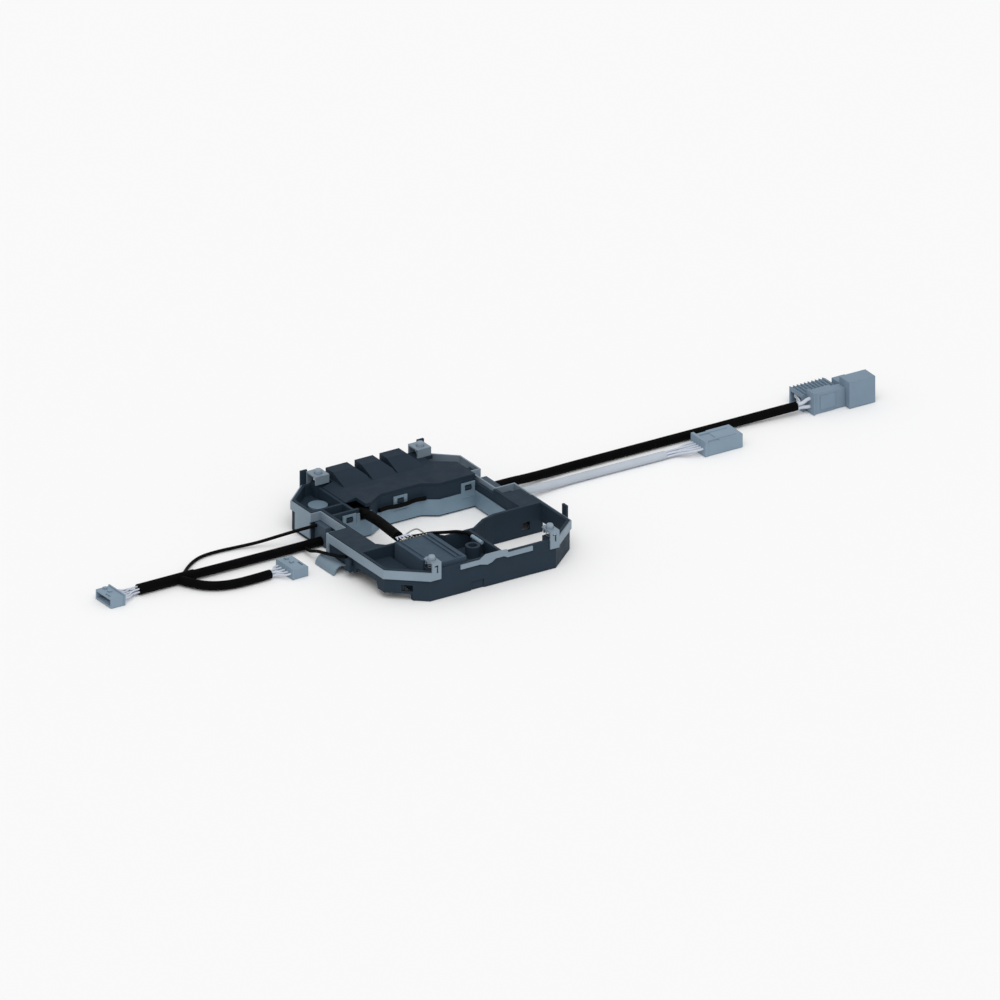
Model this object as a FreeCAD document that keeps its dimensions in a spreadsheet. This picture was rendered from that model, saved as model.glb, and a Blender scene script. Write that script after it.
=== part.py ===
"""Horn contact carrier of a steering wheel with its harness, in millimetres, Z up.

The origin lies on the surface that the carrier rests on, below the middle of the frame. X runs along the
harness to the right and Y away from the front wall.
"""
import FreeCAD, Part
import Sketcher
import math
import os
import re

os.makedirs("parts", exist_ok=True)
doc = FreeCAD.newDocument("HornContactCarrier")

# Driving sizes: alias, millimetres, and what it is
SIZES = [
    ("half_width", 71.5, "centre to the outer face of a side wall"),
    ("half_depth", 79.0, "centre to the outer face of the front or rear wall"),
    ("wall_height", 21.0, "height of the frame's walls"),
    ("wall", 2.0, "wall thickness of the frame"),
    ("floor_thickness", 2.0, "floor of the front left bay and the rear channel"),
    ("corner_x", 23.0, "front corner cut, along X"),
    ("corner_y", 19.5, "front corner cut, along Y"),
    ("rear_step", 7.0, "how far the side walls lie further in behind a notch"),
    ("arm_width", 16.5, "width of a side arm, to the central opening"),
    ("rear_corner_x", 18.0, "rear corner cut, along X"),
    ("rear_corner_y", 16.0, "rear corner cut, along Y"),
    ("notch_front", 8.0, "front edge of a side notch"),
    ("notch_back", 40.0, "rear edge of a side notch"),
    ("lobe_y", 28.0, "rear edge of the opening at its left lobe"),
    ("lobe_end", 26.0, "where the lobe ends, left of the centre"),
    ("recess_left", 14.0, "left end of the deep middle stretch"),
    ("recess_y", 35.5, "rear edge of the opening in the middle"),
    ("recess_right", 17.0, "right end of the deep middle stretch"),
    ("shoulder_x", 27.0, "where the right stretch begins"),
    ("shoulder_y", 29.0, "rear edge of the opening on the right"),
    ("front_left_y", 28.0, "front edge of the opening on the left"),
    ("front_left_end", 16.0, "right end of that edge, left of the centre"),
    ("front_mid_y", 36.0, "front edge of the opening in the middle"),
    ("front_mid_left", 10.0, "left end of the middle edge"),
    ("front_mid_right", 12.0, "right end of the middle edge"),
    ("front_right_y", 25.0, "front edge of the opening on the right"),
    ("front_right_start", 34.0, "where that edge begins"),
    ("front_knee_x", 24.0, "knee between the middle and right edges, X"),
    ("front_knee_y", 28.0, "the same knee, Y"),
    ("opening_corner", 5.0, "cut corner of the opening at the front left"),
    ("bay_split_x", 8.0, "middle of the wall between the front bays"),
    ("corner_window_low_y", 50.0, "front end of the wall round the cut rear right corner"),
    ("corner_window_inset", 3.5, "rear right wall outside the cut corner"),
    ("corner_knee_run", 3.5, "run of the cut corner's lower slope, along X"),
    ("corner_slope_run", 10.0, "run of its upper slope, along X"),
    ("corner_window_depth", 3.0, "rear wall behind the cut corner"),
    ("corner_slope_depth", 11.0, "rear wall to the cut corner's knee"),
    ("corner_step_height", 14.0, "height of the walls round the cut corner"),
    ("side_window_height", 8.0, "window low in the right wall"),
    ("side_window_length", 22.0, "its length along Y"),
    ("pocket_right_x", 38.0, "right side of the rear left pocket, left of the centre"),
    ("notch_wall_top", 17.5, "top of the wall round the right notch"),
    ("arm_step_height", 16.0, "top of the right arm's end beside the notch"),
    ("arm_step_length", 10.0, "length of that end"),
    ("bay_window", 6.0, "side of the small window between the right bay and its arm"),
    ("bay_window_x", 58.7, "its middle, right of the centre"),
    ("bay_window_low", 3.5, "its lower edge"),
    ("front_recess_left", 7.0, "right side of the recess in the front wall, left of the centre"),
    ("front_recess_width", 10.0, "its width"),
    ("front_recess_height", 6.0, "its height, from the bottom"),
    ("front_recess_depth", 0.8, "its depth"),
    ("side_dip", 8.0, "how far the right wall drops behind the front corner"),
    ("side_dip_length", 20.0, "length of that dip"),
    ("strip", 1.0, "thickness of the folded contact strips"),
    ("strip_height", 6.0, "height of a contact strip on edge"),
    ("strip_top", 20.5, "top edge of the contact strips"),
    ("strip_gap", 0.1, "clearance between a strip and the wall it lies on"),
    ("skirt_drop", 12.0, "extra depth of the left rail's skirt"),
    ("skirt_length", 18.0, "length of the skirt along Y"),
    ("leg_length", 13.2, "length of the left rail's leg beside the notch"),
    ("leg_width", 3.1, "width of that leg"),
    ("tower_slot", 1.1, "width of the small slots in a tower's plate"),
    ("shelf_step", 23.5, "side wall to the right end of the front left deck"),
    ("front_tower_inset_left", 27.5, "side wall to the front left tower"),
    ("front_tower_inset_right", 24.5, "side wall to the front right tower"),
    ("rear_tower_inset_left", 27.0, "rear side wall to the rear left tower"),
    ("rear_tower_inset_right", 23.5, "rear side wall to the rear right tower"),
    ("tower_width", 7.0, "width of a contact tower"),
    ("front_tower_top", 27.0, "top of a front tower"),
    ("rear_tower_top", 29.5, "top of a rear tower"),
    ("tower_depth", 9.5, "depth of a tower's shelf"),
    ("leg_drop", 5.0, "length of a front tower's inner leg"),
    ("rear_leg_drop", 6.0, "length of a rear tower's inner plate"),
    ("rear_tower_width", 10.5, "width of a rear tower"),
    ("pin_inset", 5.2, "pin axis behind the wall's outer face"),
    ("pin_radius", 2.4, "stem of a contact pin"),
    ("pin_clearance", 0.3, "clearance round a pin's stem"),
    ("pin_flange_radius", 3.2, "flange below the shelf"),
    ("pin_flange_thick", 1.0, "thickness of that flange"),
    ("pin_rise", 3.2, "how far a pin stands above its shelf"),
    ("pin_dome", 1.5, "rounding of a pin's head"),
    ("spring_wire", 0.45, "wire of a contact spring"),
    ("spring_radius", 2.4, "middle radius of a contact spring"),
    ("spring_turns", 2.5, "turns of a contact spring"),
    ("spring_steps", 12.0, "bends in one turn"),
    ("boss_radius", 3.6, "boss below a pin"),
    ("seat_gap", 0.3, "running gap between the pin flange and its shelf"),
    ("cover_thick", 2.5, "thickness of the rear cover"),
    ("cover_left_x", 30.0, "left edge of the rear cover's flat, left of the centre"),
    ("cover_cut_inset", 23.9, "rear side wall to the cover's edge in front of the rear right tower"),
    ("cover_cut_y", 61.0, "rear end of the cover's slanted edge"),
    ("cover_cut_low_y", 51.0, "its front end, above the side of the opening"),
    ("cover_tongue_inset", 17.5, "rear side wall to the cover's end below that tower"),
    ("cover_tongue_depth", 11.0, "depth of the cover there, from the rear face"),
    ("cover_ramp", 8.0, "run of the ramp at its left edge"),
    ("hump_height", 5.5, "height of a hump above the cover"),
    ("hump_crest", 9.0, "level length of a hump from the rear wall"),
    ("hump_length", 23.0, "whole length of a hump"),
    ("hump_one_left", 28.5, "left side of the first hump, left of the centre"),
    ("hump_one_width", 20.5, "width of the first hump"),
    ("hump_two_left", 6.2, "left side of the second hump, left of the centre"),
    ("hump_two_width", 18.0, "width of the second hump"),
    ("hump_three_left", 13.0, "left side of the third hump, right of the centre"),
    ("hump_three_width", 19.0, "width of the third hump"),
    ("hump_flank", 4.0, "width of the sloping right side of a hump"),
    ("hump_flank_drop", 3.5, "how far that side falls"),
    ("band_bottom", 1.0, "lower edge of the inner band"),
    ("band_top", 12.0, "upper edge of the inner band"),
    ("band_lobe_top", 18.2, "upper edge at the left lobe"),
    ("tab_width", 10.5, "width of a clip window's frame"),
    ("tab_rise", 7.0, "height of a clip window's frame"),
    ("tab_window", 5.0, "width of a clip window"),
    ("tab_window_height", 4.0, "height of a clip window"),
    ("lug_reach", 1.6, "how far a catch lug stands out of the wall"),
    ("module_gap", 2.0, "room round the module"),
    ("module_boss_gap", 4.2, "room between the module and the boss behind it"),
    ("module_boss_side", 0.9, "room between the module and the boss beside it"),
    ("module_right", 18.0, "right side of the module, left of the centre"),
    ("module_split", 11.0, "parting height of base and cover"),
    ("module_top", 23.5, "top of the module"),
    ("module_wall", 1.5, "wall of the module's shells"),
    ("module_lip", 0.2, "clearance of the module's shells"),
    ("board_height", 7.0, "underside of the circuit board"),
    ("board_thick", 1.6, "circuit board"),
    ("ridge_width", 1.4, "width of the cover's ridges"),
    ("ridge_height", 1.0, "height of the cover's ridges"),
    ("disc_radius", 6.5, "contact disc in the rear left pocket"),
    ("disc_height", 1.5, "thickness of that disc"),
    ("disc_x", 46.5, "disc axis, left of the centre"),
    ("disc_y", 60.0, "disc axis behind the centre"),
    ("guide_radius", 6.5, "outer radius of the wire guide"),
    ("guide_thick", 1.2, "wall of the wire guide"),
    ("guide_length", 22.0, "length of the wire guide"),
    ("sleeve", 6.1, "outer diameter of the black sleeves"),
    ("white_cable", 5.5, "outer diameter of the white cable"),
    ("lead", 2.2, "outer diameter of the thin leads"),
    ("loop_wire", 1.0, "outer diameter of the grey loop"),
    ("front_strip_left", 25.5, "left end of the front strip, left of the centre"),
    ("front_strip_right", 30.0, "right end of the front strip"),
    ("front_strip_height", 3.2, "width of the front strip"),
    ("front_step_left", 10.5, "left foot of its raised middle, left of the centre"),
    ("front_step_right", 10.5, "right foot of its raised middle"),
    ("front_step_rise", 2.8, "how far the middle is raised"),
    ("tab_left_x", 43.0, "left clip window, left of the centre"),
    ("tab_middle_x", 1.0, "middle clip window, right of the centre"),
    ("tab_right_x", 49.0, "right clip window, right of the centre"),
    ("lobe_plate_left", 37.5, "left side of the band's tall plate, left of the centre"),
    ("rib_drop", 3.0, "how far below its top the band's small ribs lie"),
    ("guide_y", 1.0, "middle of the wire guide, in front of the centre"),
    ("guide_flange", 14.2, "length of the guide's flange, to the side wall of the opening"),
    ("terminal_rows", 9.0, "number of terminals on the module"),
    ("terminal_pitch", 2.5, "their pitch"),
    ("terminal_radius", 0.5, "their radius"),
    ("terminal_rise", 1.0, "how far they stand out"),
    ("holder_top", 12.0, "top of the terminal holder's base"),
    ("holder_post", 20.0, "top of its round post"),
    ("holder_post_radius", 5.0, "radius of that post"),
    ("terminal_sleeve", 2.6, "outer diameter of the light terminal sleeve"),
    ("terminal_sleeve_z", 19.9, "height of its axis"),
    ("terminal_sleeve_inset", 34.0, "front face to its rear end"),
    ("terminal_sleeve_length", 12.0, "its length"),
    ("end_sleeve", 7.2, "outer diameter of the sleeve over the left split"),
    ("end_sleeve_y", 32.0, "its axis behind the centre"),
    ("end_sleeve_left", 203.0, "its left end, left of the centre"),
    ("end_sleeve_right", 160.0, "its right end, left of the centre"),
    ("collar_wall", 1.2, "wall of a collar on the right cable block"),
    ("plug_wall", 1.1, "wall of a small plug's housing"),
    ("plug_flange", 0.4, "how far a small plug's rear flange stands out"),
    ("plug_lug", 1.2, "height of a plug's small top lugs"),
    ("contact", 0.6, "side of a plug contact"),
    ("contact_length", 4.0, "length of a small plug's contacts"),
    ("long_contact", 8.5, "length of the contacts of the flat plug and the end socket"),
    ("socket_row_pitch", 4.4, "pitch of the end socket's contacts across it"),
    ("socket_contact_pitch", 4.8, "pitch of its contacts upwards"),
    ("socket_contact_low", 4.5, "height of its lowest contacts"),
    ("left_wire", 1.1, "outer diameter of the left plug's wires"),
    ("branch_wire", 1.3, "outer diameter of the branch plug's wires"),
    ("flat_wire", 1.5, "outer diameter of the flat plug's wires"),
    ("thin_wire", 1.2, "outer diameter of the end plug's thin wires"),
    ("branch_fan", 11.2, "bare length of the branch plug's wires"),
    ("flat_fan", 23.5, "bare length of the flat plug's wires"),
    ("end_fan", 8.5, "bare length of the end plug's thick wires"),
    ("wire_entry", 2.0, "how far the thick wires reach into the end plug"),
    ("thin_wire_entry", 5.0, "how far the thin wires reach into the ribbed cover"),
    ("small_plug_height", 6.6, "height of the two small plugs"),
    ("left_plug_face", 229.5, "mouth of the left plug, left of the centre"),
    ("left_plug_length", 11.0, "its length"),
    ("left_plug_y", 32.25, "its middle behind the centre"),
    ("left_plug_width", 18.5, "its width"),
    ("left_plug_depth", 7.5, "depth of its cavity"),
    ("branch_plug_back", 106.0, "back of the branch plug, left of the centre"),
    ("branch_plug_length", 12.0, "its length"),
    ("branch_plug_y", 7.0, "its middle behind the centre"),
    ("branch_plug_width", 20.0, "its width"),
    ("branch_plug_depth", 6.5, "depth of its cavity"),
    ("flat_plug_back", 222.0, "back of the flat plug, right of the centre"),
    ("flat_plug_length", 29.0, "its length"),
    ("flat_plug_y", 21.5, "its middle behind the centre"),
    ("flat_plug_width", 17.0, "its width"),
    ("flat_plug_height", 9.5, "its height"),
    ("flat_plug_low", 9.0, "height of its lower front block"),
    ("flat_plug_step", 11.0, "length of that block"),
    ("flat_plug_depth", 13.0, "depth of its cavity"),
    ("flat_plug_rib", 2.0, "width of the ribs on its top"),
    ("end_plug_back", 316.0, "back of the end plug, right of the centre"),
    ("end_plug_length", 25.0, "its length"),
    ("end_plug_nose", 8.0, "length of its nose"),
    ("end_plug_y", 34.0, "its middle behind the centre"),
    ("end_plug_width", 8.0, "its width"),
    ("end_plug_height", 14.3, "its height"),
    ("end_wire_low", 4.6, "height of its lower wire hole"),
    ("end_wire_high", 10.2, "height of its upper wire hole"),
    ("thick_wire", 2.4, "outer diameter of its two thick wires"),
    ("end_cover_back", 313.0, "back of the ribbed cover, right of the centre"),
    ("end_cover_width", 15.9, "width of the ribbed cover"),
    ("end_cover_height", 12.0, "height of its ribs"),
    ("end_cover_rib", 1.4, "depth of its ribs"),
    ("end_cover_teeth", 10.0, "number of ribs along its top"),
    ("end_cover_wall", 1.6, "its wall"),
    ("socket_length", 19.9, "length of the end socket"),
    ("socket_y", 31.4, "its middle behind the centre"),
    ("socket_width", 12.2, "its width"),
    ("socket_height", 18.6, "its height"),
    ("socket_wall", 1.8, "its wall"),
    ("socket_depth", 15.0, "depth of its cavity"),
    ("tongue_length", 9.9, "length of the tongue beside the socket"),
    ("tongue_width", 9.5, "its width"),
    ("tongue_height", 13.8, "its height"),
    ("loom", 5.4, "outer diameter of the loom in the rear channel"),
    ("crossover", 6.8, "outer diameter of the crossover sleeve"),
    ("inner_lead", 2.8, "outer diameter of the lead on the inner band"),
    ("shelf_height", 13.0, "deck of the front left bay and of the rear left pocket"),
    ("left_lift", 4.5, "how far the left wall's lower edge is raised"),
    ("left_lift_front", 72.0, "where the raised edge begins, in front of the centre"),
    ("left_arch", 9.0, "height of the arch in that edge"),
    ("left_arch_front", 52.0, "front end of the arch"),
    ("left_arch_back", 24.0, "rear end of the arch"),
    ("corner_light_width", 7.5, "width of the window in the front left corner"),
    ("corner_light_low", 6.0, "its lower edge"),
    ("corner_light_high", 10.5, "its upper edge"),
    ("finger_width", 5.0, "width of a snap finger"),
    ("finger_thick", 1.6, "thickness of a snap finger"),
    ("finger_gap", 1.6, "gap between a snap finger and its wall"),
    ("finger_root", 4.0, "height of the root that carries a finger"),
    ("finger_bottom", 5.0, "underside of a finger's root"),
    ("front_finger_top", 27.5, "top of the front right finger"),
    ("rear_finger_top", 30.0, "top of a rear finger"),
    ("front_finger_y", 50.0, "front right finger in front of the centre"),
    ("left_finger_top", 13.0, "top of the short front left finger"),
    ("left_finger_y", 20.0, "front left finger in front of the centre"),
    ("rear_finger_inset_left", 20.5, "rear side wall to the rear left finger"),
    ("rear_finger_inset_right", 18.5, "rear side wall to the rear right finger"),
    ("crossover_x", 31.0, "crossover sleeve where it meets the lobe, left of the centre"),
    ("crossover_z", 17.0, "its height there"),
    ("crossover_start_y", 26.0, "lobe edge back to the start of the crossover sleeve"),
    ("crossover_start_z", 7.4, "height of its start"),
    ("crossover_end_x", 41.0, "its front end, left of the centre"),
    ("crossover_end_rise", 1.3, "its front end above the module"),
    ("lead_height", 13.6, "height of the lead on the inner band"),
    ("slot_clearance", 0.6, "room round a cable in its slot"),
    ("left_block_front", 26.5, "front side of the left cable block"),
    ("left_block_back", 39.2, "rear side of the left cable block"),
    ("left_block_top", 14.2, "top of the left cable block"),
    ("left_block_reach", 5.0, "how far the left cable block stands out"),
    ("cable_left_y", 31.5, "axis of the left sleeve where it enters"),
    ("cable_left_z", 3.4, "its height there"),
    ("thin_lead_y", 37.0, "axis of the thin lead where it enters"),
    ("thin_lead_z", 12.5, "its height there"),
    ("right_block_front", 12.0, "front side of the right cable block"),
    ("right_block_back", 39.2, "rear side of the right cable block"),
    ("right_block_bottom", 3.0, "underside of the right cable block"),
    ("right_block_top", 14.0, "top of the right cable block"),
    ("right_block_reach", 13.0, "how far the right cable block stands out"),
    ("block_neck", 6.0, "side of the square neck of a cable block"),
    ("neck_z", 7.0, "height of the middle of a block's neck"),
    ("neck_y", 35.0, "middle of a block's neck behind the centre"),
    ("cable_black_y", 34.0, "axis of the right black sleeve where it leaves"),
    ("cable_white_y", 18.0, "axis of the right white cable where it leaves"),
    ("cable_right_z", 8.0, "height of both right cables where they leave"),
]

# Sizes that follow others
FORMULAS = [
    ("rear_half_width", "half_width - rear_step", "centre to the outer face behind a notch"),
    ("opening_half_width", "half_width - arm_width", "centre to a side of the central opening"),
    ("corner_window_right_x", "rear_half_width - corner_window_inset",
     "inner right side of the cut corner"),
    ("corner_window_knee_x", "corner_window_right_x - corner_knee_run", "its knee, X"),
    ("corner_window_x", "rear_half_width - corner_window_inset - corner_slope_run", "its left side"),
    ("corner_window_y", "half_depth - corner_window_depth", "its rear shoulder"),
    ("corner_window_knee_y", "half_depth - corner_slope_depth", "its knee, Y"),
    ("cover_cut_x", "rear_half_width - cover_cut_inset", "cover's edge in front of the rear right tower"),
    ("cover_tongue_x", "rear_half_width - cover_tongue_inset", "cover's end below that tower"),
    ("shelf_right_x", "half_width - shelf_step", "right end of the front left deck, left of the centre"),
    ("front_tower_left_x", "half_width - front_tower_inset_left", "front left tower, left of the centre"),
    ("front_tower_right_x", "half_width - front_tower_inset_right",
     "front right tower, right of the centre"),
    ("rear_tower_left_x", "rear_half_width - rear_tower_inset_left",
     "rear left tower, left of the centre"),
    ("rear_tower_right_x", "rear_half_width - rear_tower_inset_right",
     "rear right tower, right of the centre"),
    ("module_left", "shelf_right_x - module_gap", "left side of the module, left of the centre"),
    ("module_front", "half_depth - wall - module_gap", "front side of the module"),
    ("module_back", "front_left_y + wall + module_gap", "rear side of the module"),
    ("module_step_x", "front_tower_left_x - boss_radius - module_boss_side",
     "right side of the module's notch"),
    ("module_step_y", "half_depth - pin_inset - boss_radius - module_boss_gap",
     "front side beside that notch"),
    ("terminal_sleeve_y", "half_depth - terminal_sleeve_inset", "rear end of the light terminal sleeve"),
    ("rear_finger_left_x", "rear_half_width - rear_finger_inset_left",
     "rear left finger, left of the centre"),
    ("rear_finger_right_x", "rear_half_width - rear_finger_inset_right",
     "rear right finger, right of the centre"),
]
ALIASES = {row[0] for row in SIZES + FORMULAS}

sheet = doc.addObject("Spreadsheet::Sheet", "Sizes")
for row, (alias, value, note) in enumerate(SIZES + FORMULAS, start=1):
    sheet.set("A%d" % row, alias)
    sheet.set("B%d" % row, "=%s" % value)
    sheet.set("C%d" % row, note)
    sheet.setAlias("B%d" % row, alias)
doc.recompute()


def bound(text):
    """Turn size names in a formula into references to the sheet."""
    return re.sub(r"[a-z_]+",
                  lambda word: "Sizes." + word.group(0) if word.group(0) in ALIASES else word.group(0),
                  str(text))


def size(alias):
    """The number behind one alias."""
    return float(sheet.get(alias))


def measure(text):
    """The number that a formula of the sheet gives."""
    return float(sheet.evalExpression(bound(text)))


def tie(thing, **formulas):
    """Bind properties, written with a double underscore for a dot, to formulas."""
    for prop, text in formulas.items():
        thing.setExpression(prop.replace("__", "."), bound(text))


def place(thing, x, y, z):
    """Bind a thing's position."""
    tie(thing, Placement__Base__x=x, Placement__Base__y=y, Placement__Base__z=z)


# Helpers for sketched bodies

def new_body(name):
    body = doc.addObject("PartDesign::Body", name)
    body.Label = name
    return body


def origin_plane(body, role):
    return next(item for item in body.Origin.OriginFeatures if item.Role == role)


def attach(sketch, body, role, height):
    sketch.AttachmentSupport = [(origin_plane(body, role), "")]
    sketch.MapMode = "FlatFace"
    sketch.setExpression("AttachmentOffset.Base.z", bound(height))


def pin_points(sketch, points, closed):
    """Draw a run of lines and tie each corner to its formulas."""
    count = len(points)
    first = sketch.GeometryCount
    spots = [FreeCAD.Vector(40 * math.cos(5.0 * i / count), 30 * math.sin(5.0 * i / count),
                            0) for i in range(count)]
    lines = count if closed else count - 1
    for i in range(lines):
        sketch.addGeometry(Part.LineSegment(spots[i], spots[(i + 1) % count]), False)
    for i in range(lines if closed else lines - 1):
        sketch.addConstraint(Sketcher.Constraint("Coincident", first + i, 2, first + (i + 1) % lines, 1))
    for i, (x, y) in enumerate(points):
        line, end = (i, 1) if i < lines else (i - 1, 2)
        for kind, text, start in (("DistanceX", x, spots[i].x), ("DistanceY", y, spots[i].y)):
            number = sketch.addConstraint(Sketcher.Constraint(kind, -1, 1, first + line, end, start))
            sketch.setExpression("Constraints[%d]" % number, bound(text))


def outline(body, name, profiles, height="0", role="XY_Plane"):
    """A sketch of one closed profile, or of several in a list."""
    sketch = body.newObject("Sketcher::SketchObject", name)
    attach(sketch, body, role, height)
    for points in profiles if isinstance(profiles[0], list) else [profiles]:
        pin_points(sketch, points, closed=True)
    return sketch


def pad(body, name, sketch, length, midplane=False):
    feature = body.newObject("PartDesign::Pad", name)
    feature.Profile = sketch
    feature.Midplane = midplane
    feature.Refine = False
    tie(feature, Length=length)
    body.Tip = feature
    return feature


def pocket(body, name, sketch, length, midplane=False):
    """Cut downwards from the sketch's plane."""
    feature = body.newObject("PartDesign::Pocket", name)
    feature.Profile = sketch
    feature.Midplane = midplane
    feature.Refine = False
    tie(feature, Length=length)
    body.Tip = feature
    return feature


def frame_box(x0, x1, y0, y1):
    return [(x0, y0), (x1, y0), (x1, y1), (x0, y1)]


# Helpers for primitives and booleans

def block(name, x0, x1, y0, y1, z0, z1):
    """A box between two corners."""
    box = doc.addObject("Part::Box", name)
    tie(box, Length="(%s) - (%s)" % (x1, x0), Width="(%s) - (%s)" % (y1, y0),
        Height="(%s) - (%s)" % (z1, z0))
    place(box, x0, y0, z0)
    return box


TURNS = {"x": FreeCAD.Rotation(FreeCAD.Vector(0, 1, 0), 90),
         "y": FreeCAD.Rotation(FreeCAD.Vector(1, 0, 0), -90),
         "z": FreeCAD.Rotation()}


def rod(name, x, y, z, radius, length, axis="z"):
    """A cylinder that starts at a point and runs along an axis."""
    cylinder = doc.addObject("Part::Cylinder", name)
    cylinder.Placement = FreeCAD.Placement(FreeCAD.Vector(), TURNS[axis])
    tie(cylinder, Radius=radius, Height=length)
    place(cylinder, x, y, z)
    return cylinder


def joined(name, pieces):
    fuse = doc.addObject("Part::MultiFuse", name)
    fuse.Shapes = pieces
    return fuse


def less(name, base, tools):
    """A base with tools cut out of it."""
    cut = doc.addObject("Part::Cut", name)
    cut.Base = base
    cut.Tool = tools[0] if len(tools) == 1 else joined(name + "_tools", tools)
    return cut


def strip_on_edge(name, points, z0, z1, thickness="strip"):
    """A folded strip that stands on edge along a path, built to its right, or to its left if negative."""
    path = doc.addObject("Sketcher::SketchObject", name + "_path")
    pin_points(path, points, closed=False)
    face = doc.addObject("Part::Offset2D", name + "_face")
    face.Source = path
    face.Mode = "Skin"
    face.Join = "Intersection"
    face.Fill = True
    tie(face, Value=thickness)
    wall = doc.addObject("Part::Extrusion", name)
    wall.Base = face
    wall.DirMode = "Custom"
    wall.Dir = FreeCAD.Vector(0, 0, 1)
    wall.Solid = True
    tie(wall, LengthFwd="(%s) - (%s)" % (z1, z0))
    place(wall, "0", "0", z0)
    return wall


NODES = {}


def node(name, thing):
    """Keep a finished sub-part under its own name."""
    thing.Label = name
    NODES[name] = thing
    return thing


# Carrier frame

NOTCH_X = "(opening_half_width + wall)"
FRONT_Y = "(half_depth - wall)"


def mirrored(points):
    """A run of points on the right, closed by its mirror image on the left."""
    return points + [("-(%s)" % x, y) for x, y in reversed(points)]


def opening_edge(inset):
    """The rear edge of the central opening from left to right, moved towards the front by an inset."""
    side = "(opening_half_width - %s)" % inset
    lobe = "(lobe_y - %s)" % inset
    middle = "(recess_y - %s)" % inset
    shoulder = "(shoulder_y - %s)" % inset
    return [("-" + side, lobe), ("-lobe_end", lobe), ("-recess_left", middle),
            ("recess_right", middle), ("shoulder_x", shoulder), (side, shoulder)]


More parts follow.
